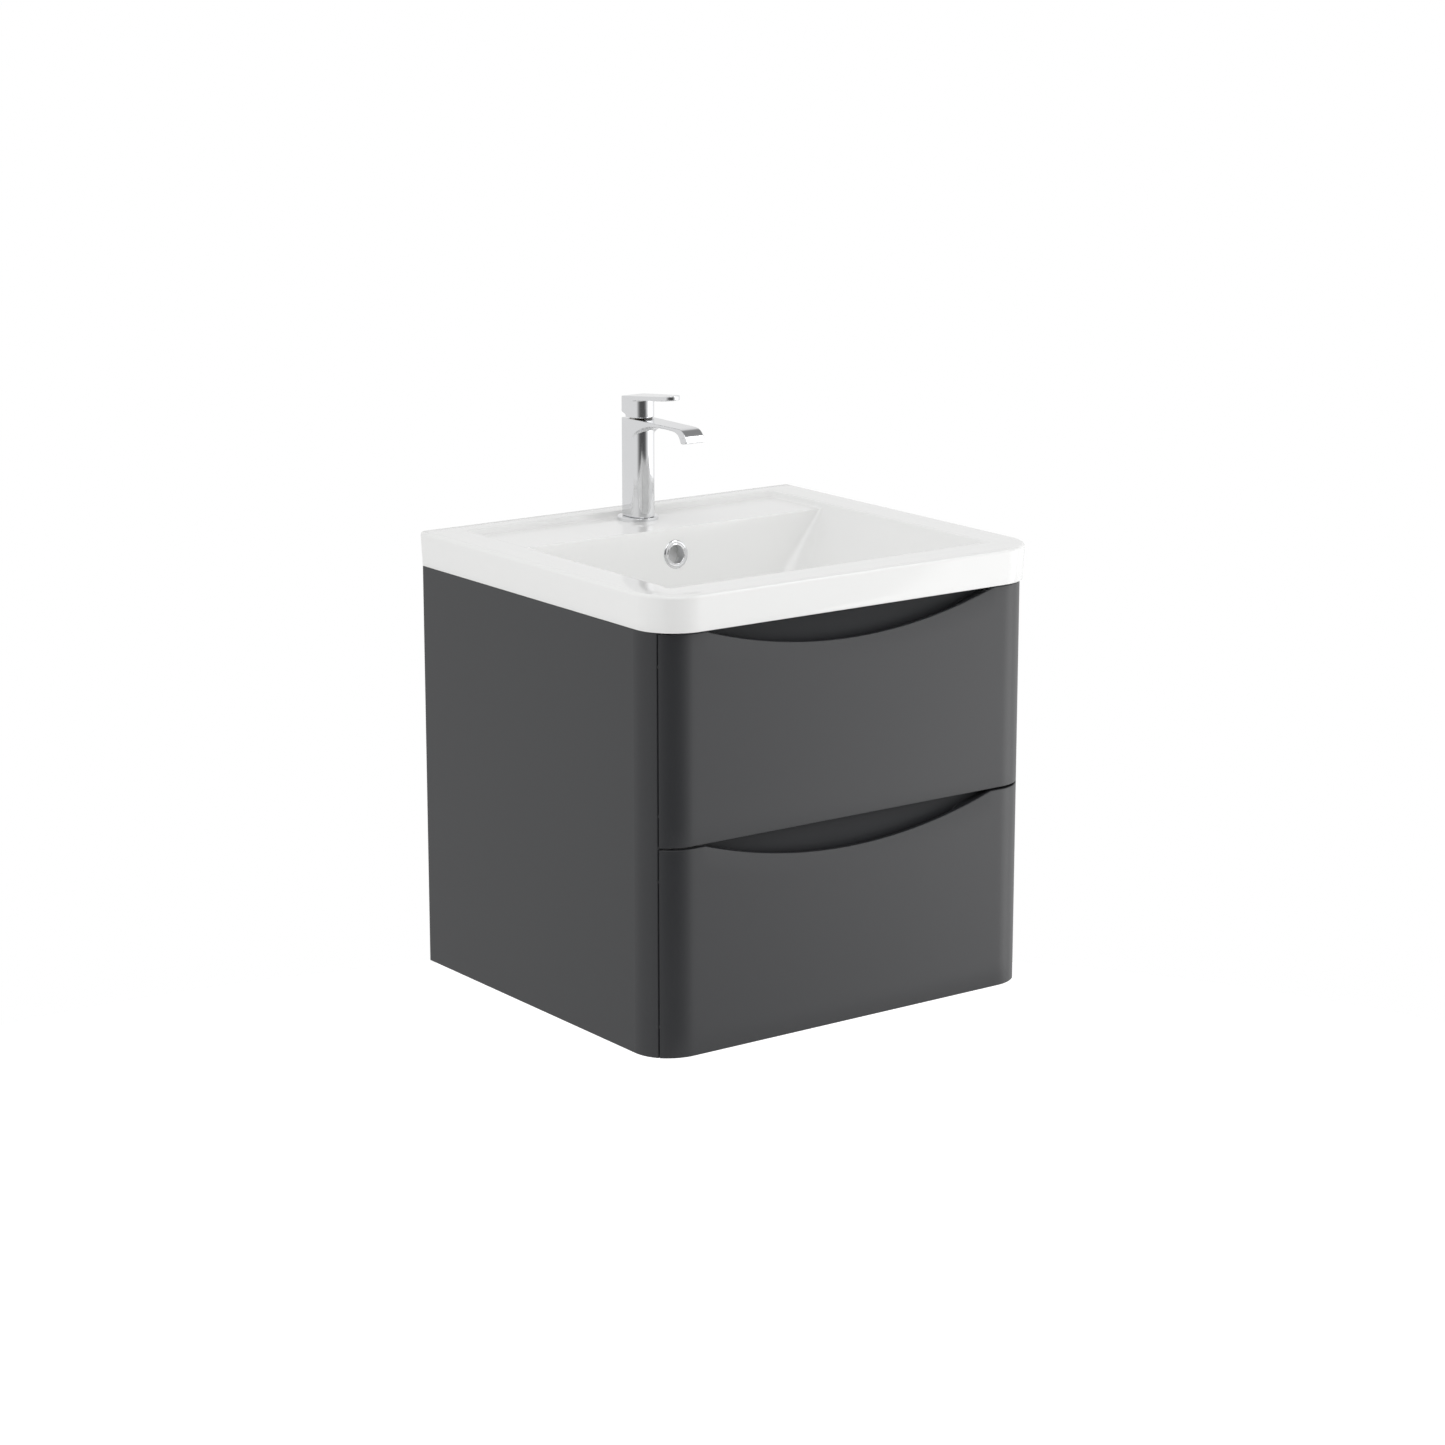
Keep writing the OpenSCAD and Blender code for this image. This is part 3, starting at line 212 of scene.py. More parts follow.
def makeLamps():
    for name, (place, target, width, height, watts, glossy) in lamps.items():
        data = bpy.data.lights.new(name, "AREA")
        data.shape, data.size, data.size_y, data.energy = "RECTANGLE", width, height, watts
        lamp = linked(name, data)
        lamp.visible_camera = False
        lamp.visible_glossy = glossy
        lamp.location = place
        lamp.rotation_euler = (Vector(target) - Vector(place)).to_track_quat("-Z", "Y").to_euler()


makeCamera(cameraLook)
makeWorld(studio)
makeFloor(studio)
makeLamps()
print("camera, floor and lamps are set")


# ---- effects that several finishes use

def objectPlace(group, stretch=(1.0, 1.0, 1.0)):
    place = addNode(group, "ShaderNodeTexCoord").outputs["Object"]
    return addNode(group, "ShaderNodeMapping", {"Vector": place, "Scale": stretch}).outputs["Vector"]


def blend(group, given, result, mask):
    # Colour and roughness between the given pairs, by a mask
    mix = addNode(group, "ShaderNodeMix", {"Factor": mask, "A": given["Dark"], "B": given["Light"]},
                  data_type="RGBA")
    rough = addNode(group, "ShaderNodeMapRange", {
        "Value": mask, "To Min": given["Low"], "To Max": given["High"]})
    group.links.new(mix.outputs["Result"], result["Color"])
    group.links.new(rough.outputs["Result"], result["Roughness"])


def reliefOn(group, result, height, strength, distance, edge):
    # A normal from a height, on a face whose edges look slightly rounded
    rounded = addNode(group, "ShaderNodeBevel", {"Radius": edge}, samples=4)
    bump = addNode(group, "ShaderNodeBump", {
        "Height": height, "Strength": strength, "Distance": distance, "Normal": rounded.outputs["Normal"]})
    group.links.new(bump.outputs["Normal"], result["Normal"])


tones = [("Light", "Color", rgb(1, 1, 1)), ("Dark", "Color", rgb(0, 0, 0)), ("Low", "Float", 0.3),
         ("High", "Float", 0.4)]


def mottleGroup():
    # Cloudy variation between two colours and two levels of roughness
    group, given, result = newTree("mottle", "ShaderNodeTree", tones + [("Scale", "Float", 20.0)],
                                   [("Color", "Color"), ("Roughness", "Float")])
    noise = addNode(group, "ShaderNodeTexNoise", {
        "Vector": objectPlace(group), "Scale": given["Scale"], "Detail": 4.0})
    blend(group, given, result, noise.outputs["Fac"])
    return group


def skinGroup():
    # Fine surface relief, as a normal
    group, given, result = newTree("skin", "ShaderNodeTree", [
        ("Scale", "Float", 900.0), ("Strength", "Float", 0.05), ("Height", "Float", 0.0002),
        ("Edge", "Float", 0.0005)], [("Normal", "Vector")])
    noise = addNode(group, "ShaderNodeTexNoise", {
        "Vector": objectPlace(group), "Scale": given["Scale"], "Detail": 2.0})
    reliefOn(group, result, noise.outputs["Fac"], given["Strength"], given["Height"], given["Edge"])
    return group


def streakGroup():
    # Drawn or rolled lines along Y, with a normal and a roughness
    group, given, result = newTree("streaks", "ShaderNodeTree", tones, [
        ("Color", "Color"), ("Roughness", "Float"), ("Normal", "Vector")])
    noise = addNode(group, "ShaderNodeTexNoise", {
        "Vector": objectPlace(group, (40.0, 1.0, 40.0)), "Scale": 9.0, "Detail": 6.0})
    strong = addNode(group, "ShaderNodeMapRange", {
        "Value": noise.outputs["Fac"], "From Min": 0.32, "From Max": 0.68})
    blend(group, given, result, strong.outputs["Result"])
    reliefOn(group, result, noise.outputs["Fac"], 0.15, 0.0002, 0.0004)
    return group


mottle, skin, streaks = mottleGroup(), skinGroup(), streakGroup()


def useGroup(tree, group, **values):
    return addNode(tree, "ShaderNodeGroup", values, node_tree=group).outputs


def dress(tree, shader, coat, normal):
    tree.links.new(coat["Color"], shader.inputs["Base Color"])
    tree.links.new(coat["Roughness"], shader.inputs["Roughness"])
    tree.links.new(normal, shader.inputs["Normal"])


def mottledMaterial(name, light, dark, scale, smooth, rough, skinScale, relief, edge, height=0.0001,
                    metal=0.0, specular=0.5):
    material, tree, shader = newMaterial(name)
    cloud = useGroup(tree, mottle, Light=rgb(*light), Dark=rgb(*dark), Scale=scale, Low=smooth, High=rough)
    fine = useGroup(tree, skin, Scale=skinScale, Strength=relief, Height=height, Edge=edge)
    dress(tree, shader, cloud, fine["Normal"])
    shader.inputs["Metallic"].default_value = metal
    shader.inputs["IOR"].default_value = 1.5
    shader.inputs["Specular IOR Level"].default_value = specular
    return material


def streakedMaterial(name, light, dark, smooth, rough, metal):
    material, tree, shader = newMaterial(name)
    lines = useGroup(tree, streaks, Light=rgb(*light), Dark=rgb(*dark), Low=smooth, High=rough)
    dress(tree, shader, lines, lines["Normal"])
    shader.inputs["Metallic"].default_value = metal
    return material


finishes = {
    "anthracite_lacquer": mottledMaterial(
        "anthraciteLacquer", (0.0245, 0.0255, 0.0280), (0.0205, 0.0215, 0.0240), scale=7.0,
        smooth=0.36, rough=0.42, skinScale=1400.0, relief=0.12, edge=0.0012),
    "white_glaze": mottledMaterial(
        "whiteGlaze", (0.875, 0.875, 0.865), (0.845, 0.848, 0.842), scale=5.0,
        smooth=0.06, rough=0.10, skinScale=55.0, relief=0.02, edge=0.0, height=0.0004),
    "polished_chrome": mottledMaterial(
        "polishedChrome", (0.755, 0.76, 0.77), (0.715, 0.72, 0.73), scale=30.0,
        smooth=0.05, rough=0.09, skinScale=300.0, relief=0.02, edge=0.001, metal=1.0),
    "grey_board": streakedMaterial(
        "greyBoard", (0.30, 0.30, 0.31), (0.22, 0.22, 0.23), smooth=0.5, rough=0.65, metal=0.0),
    "zinc_steel": streakedMaterial(
        "zincSteel", (0.66, 0.67, 0.69), (0.50, 0.51, 0.53), smooth=0.28, rough=0.42, metal=1.0),
    "black_rubber": mottledMaterial(
        "blackRubber", (0.030, 0.030, 0.031), (0.018, 0.018, 0.019), scale=120.0,
        smooth=0.6, rough=0.75, skinScale=2200.0, relief=0.25, edge=0.0003, height=0.0002),
    "brass": mottledMaterial(
        "turnedBrass", (0.50, 0.41, 0.27), (0.40, 0.32, 0.20), scale=60.0,
        smooth=0.22, rough=0.34, skinScale=800.0, relief=0.08, edge=0.0003, metal=1.0),
    "grey_plastic": mottledMaterial(
        "greyPlastic", (0.34, 0.35, 0.36), (0.29, 0.30, 0.31), scale=40.0,
        smooth=0.38, rough=0.48, skinScale=2600.0, relief=0.2, edge=0.0004),
    "white_plastic": mottledMaterial(
        "whitePlastic", (0.82, 0.82, 0.81), (0.77, 0.77, 0.76), scale=40.0,
        smooth=0.34, rough=0.42, skinScale=2600.0, relief=0.15, edge=0.0005),
}
# Rougher, less glossy lacquer of the routed pull, with its colour darkened as painted shade in the recess
pullLacquerPaintedShade = mottledMaterial(
    "pullLacquerPaintedShade", (0.0215, 0.0225, 0.0250), (0.0180, 0.0190, 0.0215), scale=7.0,
    smooth=0.55, rough=0.65, skinScale=1400.0, relief=0.2, edge=0.0008, specular=0.22)
# Brass with its colour darkened: painted shade for the brass parts under the lever
paintedShadeBrass = mottledMaterial(
    "paintedShadeBrass", (0.16, 0.135, 0.095), (0.11, 0.09, 0.06), scale=60.0,
    smooth=0.22, rough=0.45, skinScale=800.0, relief=0.08, edge=0.0003, metal=1.0)
paintedShadeNodes = ("tap_turret", "tap_cartridge_nut")  # brass that is only seen in the dark under the lever


def dressSolids():
    slotOf = {part["node"]: part["material_slot"] for part in frame["record"]["subparts"]}
    for name, node in nodes.items():
        if not node.material_slots:
            node.data.materials.append(None)
        for slot in node.material_slots:
            slot.link = "OBJECT"
            slot.material = paintedShadeBrass if name in paintedShadeNodes else finishes[slotOf[name]]


dressSolids()
print("finishes are on the solids")


# ---- ways of making a piece

def meshPiece(name, points, faces, weld, slivers=False):
    # A closed piece from points and faces; points nearer than the weld are joined, and slivers taken out
    mesh = bpy.data.meshes.new(name)
    mesh.from_pydata(points, [], faces)
    tool = bmesh.new()
    tool.from_mesh(mesh)
    bmesh.ops.remove_doubles(tool, verts=tool.verts, dist=weld)
    if slivers:
        bmesh.ops.dissolve_degenerate(tool, edges=tool.edges, dist=weld)
    bmesh.ops.recalc_face_normals(tool, faces=tool.faces)
    tool.to_mesh(mesh)
    tool.free()
    return linked(name, mesh)


def fromBmesh(name, tool):
    mesh = bpy.data.meshes.new(name)
    tool.to_mesh(mesh)
    tool.free()
    return linked(name, mesh)


def baked(piece):
    # Keeps what the piece's modifiers make as its plain mesh
    bpy.context.view_layer.update()
    solid = bpy.data.meshes.new_from_object(piece.evaluated_get(bpy.context.evaluated_depsgraph_get()))
    piece.modifiers.clear()
    piece.data = solid
    return piece


def drill(piece, cutters):
    # Cuts closed shapes out of a piece, and removes them
    for cutter in cutters:
        cut = piece.modifiers.new("cut", "BOOLEAN")
        cut.operation, cut.object, cut.solver = "DIFFERENCE", cutter, "MANIFOLD"
    baked(piece)
    for cutter in cutters:
        bpy.data.objects.remove(cutter)


def rod(name, start, end, radius, sides=64):
    # A closed round bar between two points
    start, end = Vector(start), Vector(end)
    turn = (end - start).to_track_quat("Z", "Y").to_matrix().to_4x4()
    tool = bmesh.new()
    bmesh.ops.create_cone(tool, cap_ends=True, segments=sides, radius1=radius, radius2=radius,
                          depth=(end - start).length)
    tool.transform(Matrix.Translation((start + end) / 2) @ turn)
    return fromBmesh(name, tool)


def band(first, second):
    # Faces between two closed rings of points
    ends = list(zip(first, second))
    return [(a, c, d, b) for (a, b), (c, d) in zip(ends, ends[1:] + ends[:1])]


def finishPiece(piece, body, slot, sharp=60.0, hides=()):
    mesh = piece.data
    mesh.materials.clear()
    mesh.materials.append(finishes[slot])
    mesh.shade_smooth()
    mesh.set_sharp_from_angle(angle=math.radians(sharp))
    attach(piece, body)
    if hides:
        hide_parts(*hides)


def steps(start, *stops):
    # Positions along one axis: a start, then pairs of an end and a step
    places = [start]
    for end, step in stops:
        start = places[-1]
        count = max(1, round(abs(end - start) / step))
        places += [start + (end - start) * i / count for i in range(1, count + 1)]
    return places


def mirrored(right):
    return [-x for x in reversed(right[1:])] + right


def arc(centre, radius, start, end, count, squash=1.0):
    # Points of an arc from one angle to another in degrees
    turns = [math.radians(start + (end - start) * i / count) for i in range(count + 1)]
    return [(centre[0] + radius * math.cos(t), centre[1] + radius * squash * math.sin(t)) for t in turns]


# ---- basin

basinShape = {
    "cornerRadius": 0.060, "edgeRadius": 0.005, "edgeTurns": 7, "backEdge": 0.0015, "taper": 0.0025,
    "skirtWall": 0.014, "footEdge": 0.0008, "footBand": 0.010, "rimSide": 0.050, "rimFront": 0.051,
    "rimRear": 0.031, "ledgeDrop": 0.007, "ledgeFront": 0.147, "bowlDepth": 0.105, "deck": 0.011,
    "wall": 0.009, "topRadius": 0.004, "recessCorner": 0.006, "floorRadius": 0.030,
    "sideLean": 36.0, "rearLean": 8.0, "frontLean": 14.0, "recessLean": 35.0,
    "softRim": 0.0022, "softFront": 0.0050, "softLedge": 0.0014, "softFoot": 0.0045, "softLeast": 0.0005,
    "flatHalf": 0.270, "flatFront": 0.515, "flatBack": 0.020,
    "channelHalf": 0.029, "channelDeep": 0.021, "bossRadius": 0.032, "bossDrop": 0.030,
    "ribBack": 0.500, "ribFront": 0.514, "wasteHole": 0.023, "tapHole": 0.0175, "overflowBore": 0.01355,
}


def softMin(a, b, width):
    gap = max(width - abs(a - b), 0.0) / width
    return min(a, b) - gap * gap * width / 4


def softMax(a, b, width):
    return -softMin(-a, -b, width)


class BasinForm:
    # Heights of the glazed top and of the underside, from the slopes of the walls
    def __init__(self, shape, low, high, seat):
        self.s, self.seat = shape, seat
        self.rim = high[2]
        self.ledge = self.rim - shape["ledgeDrop"]
        self.deck = self.ledge - shape["deck"]
        self.floor = self.ledge - shape["bowlDepth"]
        self.openHalf = high[0] - shape["rimSide"]
        self.openFront = low[1] + shape["rimFront"]
        self.leans = {k: math.radians(shape[k + "Lean"]) for k in ("side", "rear", "front", "recess")}
        self.ballZ = self.floor + shape["floorRadius"]
        r, z = shape["floorRadius"], self.ballZ
        self.floorX = self.planeX(z) - r / math.cos(self.leans["side"])
        self.floorRear = self.planeRear(z) - r / math.cos(self.leans["rear"])
        self.floorFront = self.planeFront(z) + r / math.cos(self.leans["front"])
        self.wasteY = (self.floorRear + self.floorFront) / 2

    def planeX(self, z):
        return self.openHalf - (self.rim - z) * math.tan(self.leans["side"])

    def planeFront(self, z):
        return self.openFront + (self.rim - z) * math.tan(self.leans["front"])

    def planeRear(self, z):
        return -self.s["ledgeFront"] - (self.ledge - z) * math.tan(self.leans["rear"])

    def planeRecess(self, z):
        return -self.s["rimRear"] - (self.rim - z) * math.tan(self.leans["recess"])

    def bowlSection(self, z, grow):
        # Half width, rear, front and corner radius of the bowl at a height
        leans, r = self.leans, self.s["floorRadius"] + grow
        drop = self.ballZ - z
        corner = math.sqrt(max(r * r - drop * drop, 0.0)) if drop > 0 else r
        sides = []
        for plane, centre, lean, way in ((self.planeX(z), self.floorX, leans["side"], 1),
                                         (self.planeRear(z), self.floorRear, leans["rear"], 1),
                                         (self.planeFront(z), self.floorFront, leans["front"], -1)):
            onWall = drop < r * math.sin(lean)
            sides.append(plane + way * grow / math.cos(lean) if onWall else centre + way * corner)
        if drop <= 0:
            corner = r + (self.s["topRadius"] + grow - r) * share(z, self.ballZ, self.ledge)
        return sides[0], sides[1], sides[2], max(corner, 1e-6)

    def recessSection(self, z, grow):
        return self.planeX(z), self.planeRecess(z), self.planeFront(z), self.s["recessCorner"]

    def height(self, x, y, section, bottom, top, grow=0.0):
        # Lowest height at which the point lies inside the section
        def outside(z):
            half, rear, front, r = section(z, grow)
            dx = abs(x) - (half - r)
            dy = max(y - (rear - r), (front + r) - y)
            return math.hypot(max(dx, 0.0), max(dy, 0.0)) + min(max(dx, dy), 0.0) - r > 0
        if not outside(bottom):
            return bottom
        if outside(top):
            return top
        for _ in range(17):
            middle = (bottom + top) / 2
            if outside(middle):
                bottom = middle
            else:
                top = middle
        return top

    def top(self, x, y):
        # The glazed face; a joint of two walls is soft at the rear and the front, and sharp at the sides
        s, near = self.s, 0.004
        if abs(x) > self.openHalf + near or y < self.openFront - near or y > -s["rimRear"] + 2 * near:
            return self.rim
        sky, pit = self.rim + 3 * near, self.ledge - 0.015
        bowl = self.height(x, y, self.bowlSection, self.floor, sky)
        walls = self.height(x, y, self.recessSection, pit, sky)
        atRear = share(y, -s["ledgeFront"] - 0.05, -s["ledgeFront"] - 0.03)
        recess = softMax(walls, self.ledge, s["softLeast"] + atRear * s["softFoot"])
        edge = self.planeX(self.ledge) - 0.002
        fade = share(abs(x), edge, edge - 0.012) * atRear
        z = softMin(bowl, recess, max(s["softLedge"] * fade, 1e-5))
        atFront = share(y, self.openFront + 0.03, self.openFront + 0.01)
        return softMin(z, self.rim, s["softRim"] + (s["softFront"] - s["softRim"]) * atFront)

    def under(self, x, y):
        # The hollow underside: bowl wall, overflow channel, boss round the waste and rib at the front
        s = self.s
        if -s["ribFront"] - 1e-4 < y < -s["ribBack"] + 1e-4:
            return self.seat
        floor = self.floor - s["wall"]
        z = self.height(x, y, self.bowlSection, floor, self.deck, s["wall"])
        if abs(x) < s["channelHalf"] and y > self.wasteY:
            deep = s["channelDeep"]
            line = self.height(0.0, y, self.bowlSection, floor - deep, self.deck, s["wall"] + deep)
            z = min(z, line)
        if math.hypot(x, y - self.wasteY) < s["bossRadius"]:
            z = min(z, self.floor - s["bossDrop"])
        return z


def basinGrid(form):
    # Places across and along the basin, closer together where its slope changes
    s, side, front = form.s, form.openHalf, form.openFront
    rear, ledge = -s["rimRear"], -s["ledgeFront"]
    xs = mirrored(steps(0.0, (side - 0.1, 0.010), (side - 0.014, 0.003), (side - 0.0075, 0.0011),
                        (side + 0.0035, 0.0006), (s["flatHalf"], 0.004)))
    ys = steps(-s["flatBack"], (rear + 0.0035, 0.0015), (rear - 0.0025, 0.0005), (rear - 0.013, 0.0012),
               (ledge + 0.003, 0.005), (ledge + 0.0006, 0.0006), (ledge + 0.00035, 0.00005),
               (ledge, 0.00012), (ledge - 0.0008, 0.0002), (ledge - 0.015, 0.0005), (ledge - 0.048, 0.0016),
               (front + 0.054, 0.007), (front + 0.028, 0.0018), (front + 0.0015, 0.0008),
               (front - 0.0015, 0.0002), (-s["ribBack"], 0.0009), (-s["ribBack"] - 1e-5, 0.001),
               (-s["ribFront"] + 1e-4, 0.005), (-s["ribFront"], 0.001), (-s["flatFront"], 0.001))
    return xs, ys


def makeBasin(shape):
    low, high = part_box("basin")
    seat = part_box("side_panel_left")[1][2]
    form = BasinForm(shape, low, high, seat)
    half, back = shape["flatHalf"], -shape["flatBack"]
    xs, ys = basinGrid(form)
    wide, deep = len(xs), len(ys)
    points, faces = [], []

    def grid(height, flip):
        # A sheet of heights; gives its edge from the back left corner: left, front, right and back
        start = len(points)
        for y in ys:
            points.extend((x, y, height(x, y)) for x in xs)
        for j in range(deep - 1):
            for i in range(wide - 1):
                a = start + j * wide + i
                face = (a, a + 1, a + wide + 1, a + wide)
                faces.append(face if flip else face[::-1])
        left = [start + j * wide for j in range(deep)]
        near = [start + (deep - 1) * wide + i for i in range(1, wide)]
        right = [start + j * wide + wide - 1 for j in range(deep - 2, -1, -1)]
        return left + near + right + [start + i for i in range(wide - 2, 0, -1)]

    topEdge, underEdge = grid(form.top, False), grid(form.under, True)
    flat = [(points[i][0], points[i][1]) for i in topEdge]
    cornerX, cornerY = high[0] - shape["cornerRadius"], low[1] + shape["cornerRadius"]

    def contour(inset, backInset):
        # Where each point of the flat's edge lands on the outline, drawn in by an inset
        out, r, near = [], shape["cornerRadius"] - inset, 1e-9
        for x, y in flat:
            if abs(y - back) < near and abs(x) < half - near:
                out.append((x * (high[0] - inset) / half, -backInset))
            elif abs(x) > cornerX - near and y < cornerY + near:
                turn = math.atan2(cornerY - y, abs(x) - cornerX)
                out.append((math.copysign(cornerX + r * math.cos(turn), x), cornerY - r * math.sin(turn)))
            elif abs(x) < half - near:
                out.append((x, low[1] + inset))
            else:
                out.append((math.copysign(high[0] - inset, x), y if y < back - near else -backInset))
        return out

    def ring(inset, backInset, heights):
        start = len(points)
        points.extend((x, y, z) for (x, y), z in zip(contour(inset, backInset), heights))
        return list(range(start, start + len(flat)))

    def levelRing(inset, backInset, z):
        return ring(inset, backInset, [z] * len(flat))

    edge, foot = shape["edgeRadius"], shape["footEdge"]
    rings = [topEdge]
    for k in range(shape["edgeTurns"] + 1):
        angle = math.pi / 2 * k / shape["edgeTurns"]
        left = 1 - math.sin(angle)
        rings.append(levelRing(edge * left, shape["backEdge"] * left, high[2] - edge * (1 - math.cos(angle))))
    for up, extra in ((shape["footBand"], 0.0), (foot, 0.0), (foot * 0.3, foot * 0.3), (0.0, foot)):
        taper = shape["taper"] * share(seat + up, high[2] - edge, seat)
        rings.append(levelRing(taper + extra, 0.0, seat + up))
    thick = shape["skirtWall"]
    inner = shape["taper"] + thick
    rings += [levelRing(inner, thick, seat), ring(inner, thick, [points[i][2] for i in underEdge]), underEdge]
    for within, outer in zip(rings, rings[1:]):
        faces += band(within, outer)
    return meshPiece("basinGlaze", points, faces, 1e-6), form


basin, basinForm = makeBasin(basinShape)
wasteY, rearLean = basinForm.wasteY, basinForm.leans["rear"]
bore = Vector((0.0, math.cos(rearLean), -math.sin(rearLean)))


def overflowCentre():
    # Where the axis of the overflow meets the bowl's rear wall
    low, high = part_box("overflow_ring")
    z = (low[2] + high[2]) / 2 - 0.0008
    return Vector((0.0, basinForm.planeRear(z), z))


def drillBasin(shape):
    low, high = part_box("tap_base_ring")
    tapY, form = (low[1] + high[1]) / 2, basinForm
    drill(basin, [
        rod("overflowCut", overflow - bore * 0.006, overflow + bore * 0.015, shape["overflowBore"]),
        rod("wasteCut", (0, wasteY, form.floor - 0.04), (0, wasteY, form.floor + 0.01), shape["wasteHole"]),
        rod("tapCut", (0, tapY, form.deck - 0.01), (0, tapY, form.ledge + 0.01), shape["tapHole"]),
    ])


overflow = overflowCentre()
drillBasin(basinShape)
finishPiece(basin, "cabinet", "white_glaze", 60.0, ("basin",))
print("basin made:", len(basin.data.polygons), "faces")


# ---- drawer fronts

frontShape = {
    "cornerRadius": 0.052, "cornerSteps": 14, "thickness": 0.018, "pullChord": 0.454, "pullSag": 0.036,
    "pullDepth": 0.013, "pullZone": 0.060, "lip": 0.0055, "grooveDrop": 0.011, "grooveHalf": 0.184,
    "grooveFade": 0.024, "leastSquash": 0.02, "edge": 0.0010, "lipEdge": 0.0012, "lipInner": 0.6,
    "calmHalf": 0.150, "fadeHalf": 0.200, "endGap": 0.0003,
}


def frontProfile(shape, x, low, high):
    # Outline (depth behind the face, height) at one place across the front
    half, sag = shape["pullChord"] / 2, shape["pullSag"]
    pullRadius = (half * half + sag * sag) / (2 * sag)
    drop = max(math.sqrt(pullRadius ** 2 - x * x) - (pullRadius - sag), 0.0) if abs(x) < half else 0.0
    lipTop = high - drop
    depth, lip, edge, thick = shape["pullDepth"], shape["lip"], shape["edge"], shape["thickness"]
    fade = share(abs(x), shape["grooveHalf"], shape["grooveHalf"] - shape["grooveFade"])
    fade = fade * fade * (3 - 2 * fade) if drop > 0 else 0.0
    squash = max(fade, shape["leastSquash"])
    r, inner, bowl = shape["lipEdge"], shape["lipEdge"] * shape["lipInner"], (depth - lip) / 2
    innerTop, grooveTop = lipTop - inner * squash, lipTop - shape["grooveDrop"] * fade + bowl * squash
    points = [(edge, low)] + arc((edge, low + edge), edge, -120, -180, 2)
    points += [(0.0, low + (lipTop - r - low) * s) for s in (0.12, 0.5, 0.88)]
    points += arc((r, lipTop - r), r, 180, 90, 4) + arc((lip - inner, innerTop), inner, 90, 0, 3)
    points += [(lip, grooveTop + (innerTop - grooveTop) * s) for s in (0.66, 0.33)]
    points += arc((lip + bowl, grooveTop), bowl, 180, 360, 6, squash)
    backEdge = min(edge, drop + 1e-5)
    points += [(depth, grooveTop + (high - grooveTop - backEdge) * s)
               for s in (0.12, 0.25, 0.4, 0.55, 0.7, 0.85, 1.0)]
    points += [(depth + backEdge * 0.3, high - backEdge * 0.3), (depth + backEdge, high)]
    return points + [(thick - edge, high), (thick - edge * 0.3, high - edge * 0.3), (thick, high - edge),
                     (thick, low + edge), (thick - edge, low)]


def makeFront(shape, node, body):
    low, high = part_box(node)
    r, thick, turns = shape["cornerRadius"], shape["thickness"], shape["cornerSteps"]
    flat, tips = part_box("side_panel_right")[1][0] - r, shape["pullChord"] / 2
    end = flat + math.sqrt(r * r - (r - thick) ** 2) - shape["endGap"]
    corner = [flat + (end - flat) * math.sin(math.pi / 2 * i / turns) for i in range(1, turns + 1)]
    xs = mirrored(steps(0.0, (shape["calmHalf"], 0.006), (shape["fadeHalf"], 0.0025), (tips - 0.002, 0.0018),
                        (tips, 0.0005), (flat, 0.006)) + corner)
    points = []
    for x in xs:
        sweep = max(abs(x) - flat, 0.0)
        y = low[1] + r - math.sqrt(r * r - sweep * sweep)
        scale = (low[1] + thick - y) / thick
        points.extend((x, y + d * scale, z) for d, z in frontProfile(shape, x, low[2], high[2]))
    count, faces = len(points) // len(xs), []
    rows = [tuple(range(start, start + count)) for start in range(0, len(points), count)]
    for row, after in zip(rows, rows[1:]):
        faces += band(row, after)
    faces += [rows[0], rows[-1][::-1]]
    piece = meshPiece(node + "Lacquer", points, faces, 2e-6, slivers=True)
    finishPiece(piece, body, "anthracite_lacquer", 50.0, (node,))
    # The routed faces in the pull's recess take the pull lacquer with its painted shade
    piece.data.materials.append(pullLacquerPaintedShade)
    for face in piece.data.polygons:
        depth, near = face.center.y - low[1], 1e-5
        routed = abs(face.center.x) < tips and shape["lip"] - near < depth < shape["pullDepth"] + near
        upper = face.center.z > high[2] - shape["pullZone"]
        face.material_index = int(routed and upper and face.normal.z < 0.7)


for node, body in (("lower_front", "lower_drawer"), ("upper_front", "upper_drawer")):
    makeFront(frontShape, node, body)
print("drawer fronts made")


# ---- tap

tapShape = {
    "voxel": 0.00070, "rounds": 4, "columnBack": 0.0204, "columnFront": 0.021, "spoutWidth": 0.0175,
    "spoutTip": 0.0148, "spoutReach": 0.1253, "underHalf": 0.008, "underRound": 0.0034, "underFade": 0.010,
    "underLoose": 0.001, "leverReach": 0.0793, "leverTip": 0.80, "leverRounds": 2,
}
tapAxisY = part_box("tap_body")[1][1] - tapShape["columnBack"]


def solidCopy(node, name):
    # Merged copy of a solid's mesh
    tool = bmesh.new()
    tool.from_mesh(nodes[node].data)
    bmesh.ops.remove_doubles(tool, verts=tool.verts, dist=1e-6)
    return fromBmesh(name, tool)


def remeshed(piece, voxel):
    skinOver = piece.modifiers.new("skinOver", "REMESH")
    skinOver.mode, skinOver.voxel_size, skinOver.adaptivity = "VOXEL", voxel, 0.0
    baked(piece)


def relaxed(piece, rounds):
    tool = bmesh.new()
    tool.from_mesh(piece.data)
    for _ in range(rounds):
        bmesh.ops.smooth_vert(tool, verts=tool.verts, factor=0.5,
                              use_axis_x=True, use_axis_y=True, use_axis_z=True)
    bmesh.ops.recalc_face_normals(tool, faces=tool.faces)
    tool.to_mesh(piece.data)
    tool.free()


def undersideHeights(shape, piece):
    # Lowest height of the spout at each millimetre in front of the column
    lows = {}
    for vertex in piece.data.vertices:
        x, y, z = vertex.co
        if y < tapAxisY - shape["columnFront"] and abs(x) < shape["underHalf"]:
            key = round(y * 1000)
            lows[key] = min(lows.get(key, 1.0), z)
    return lows


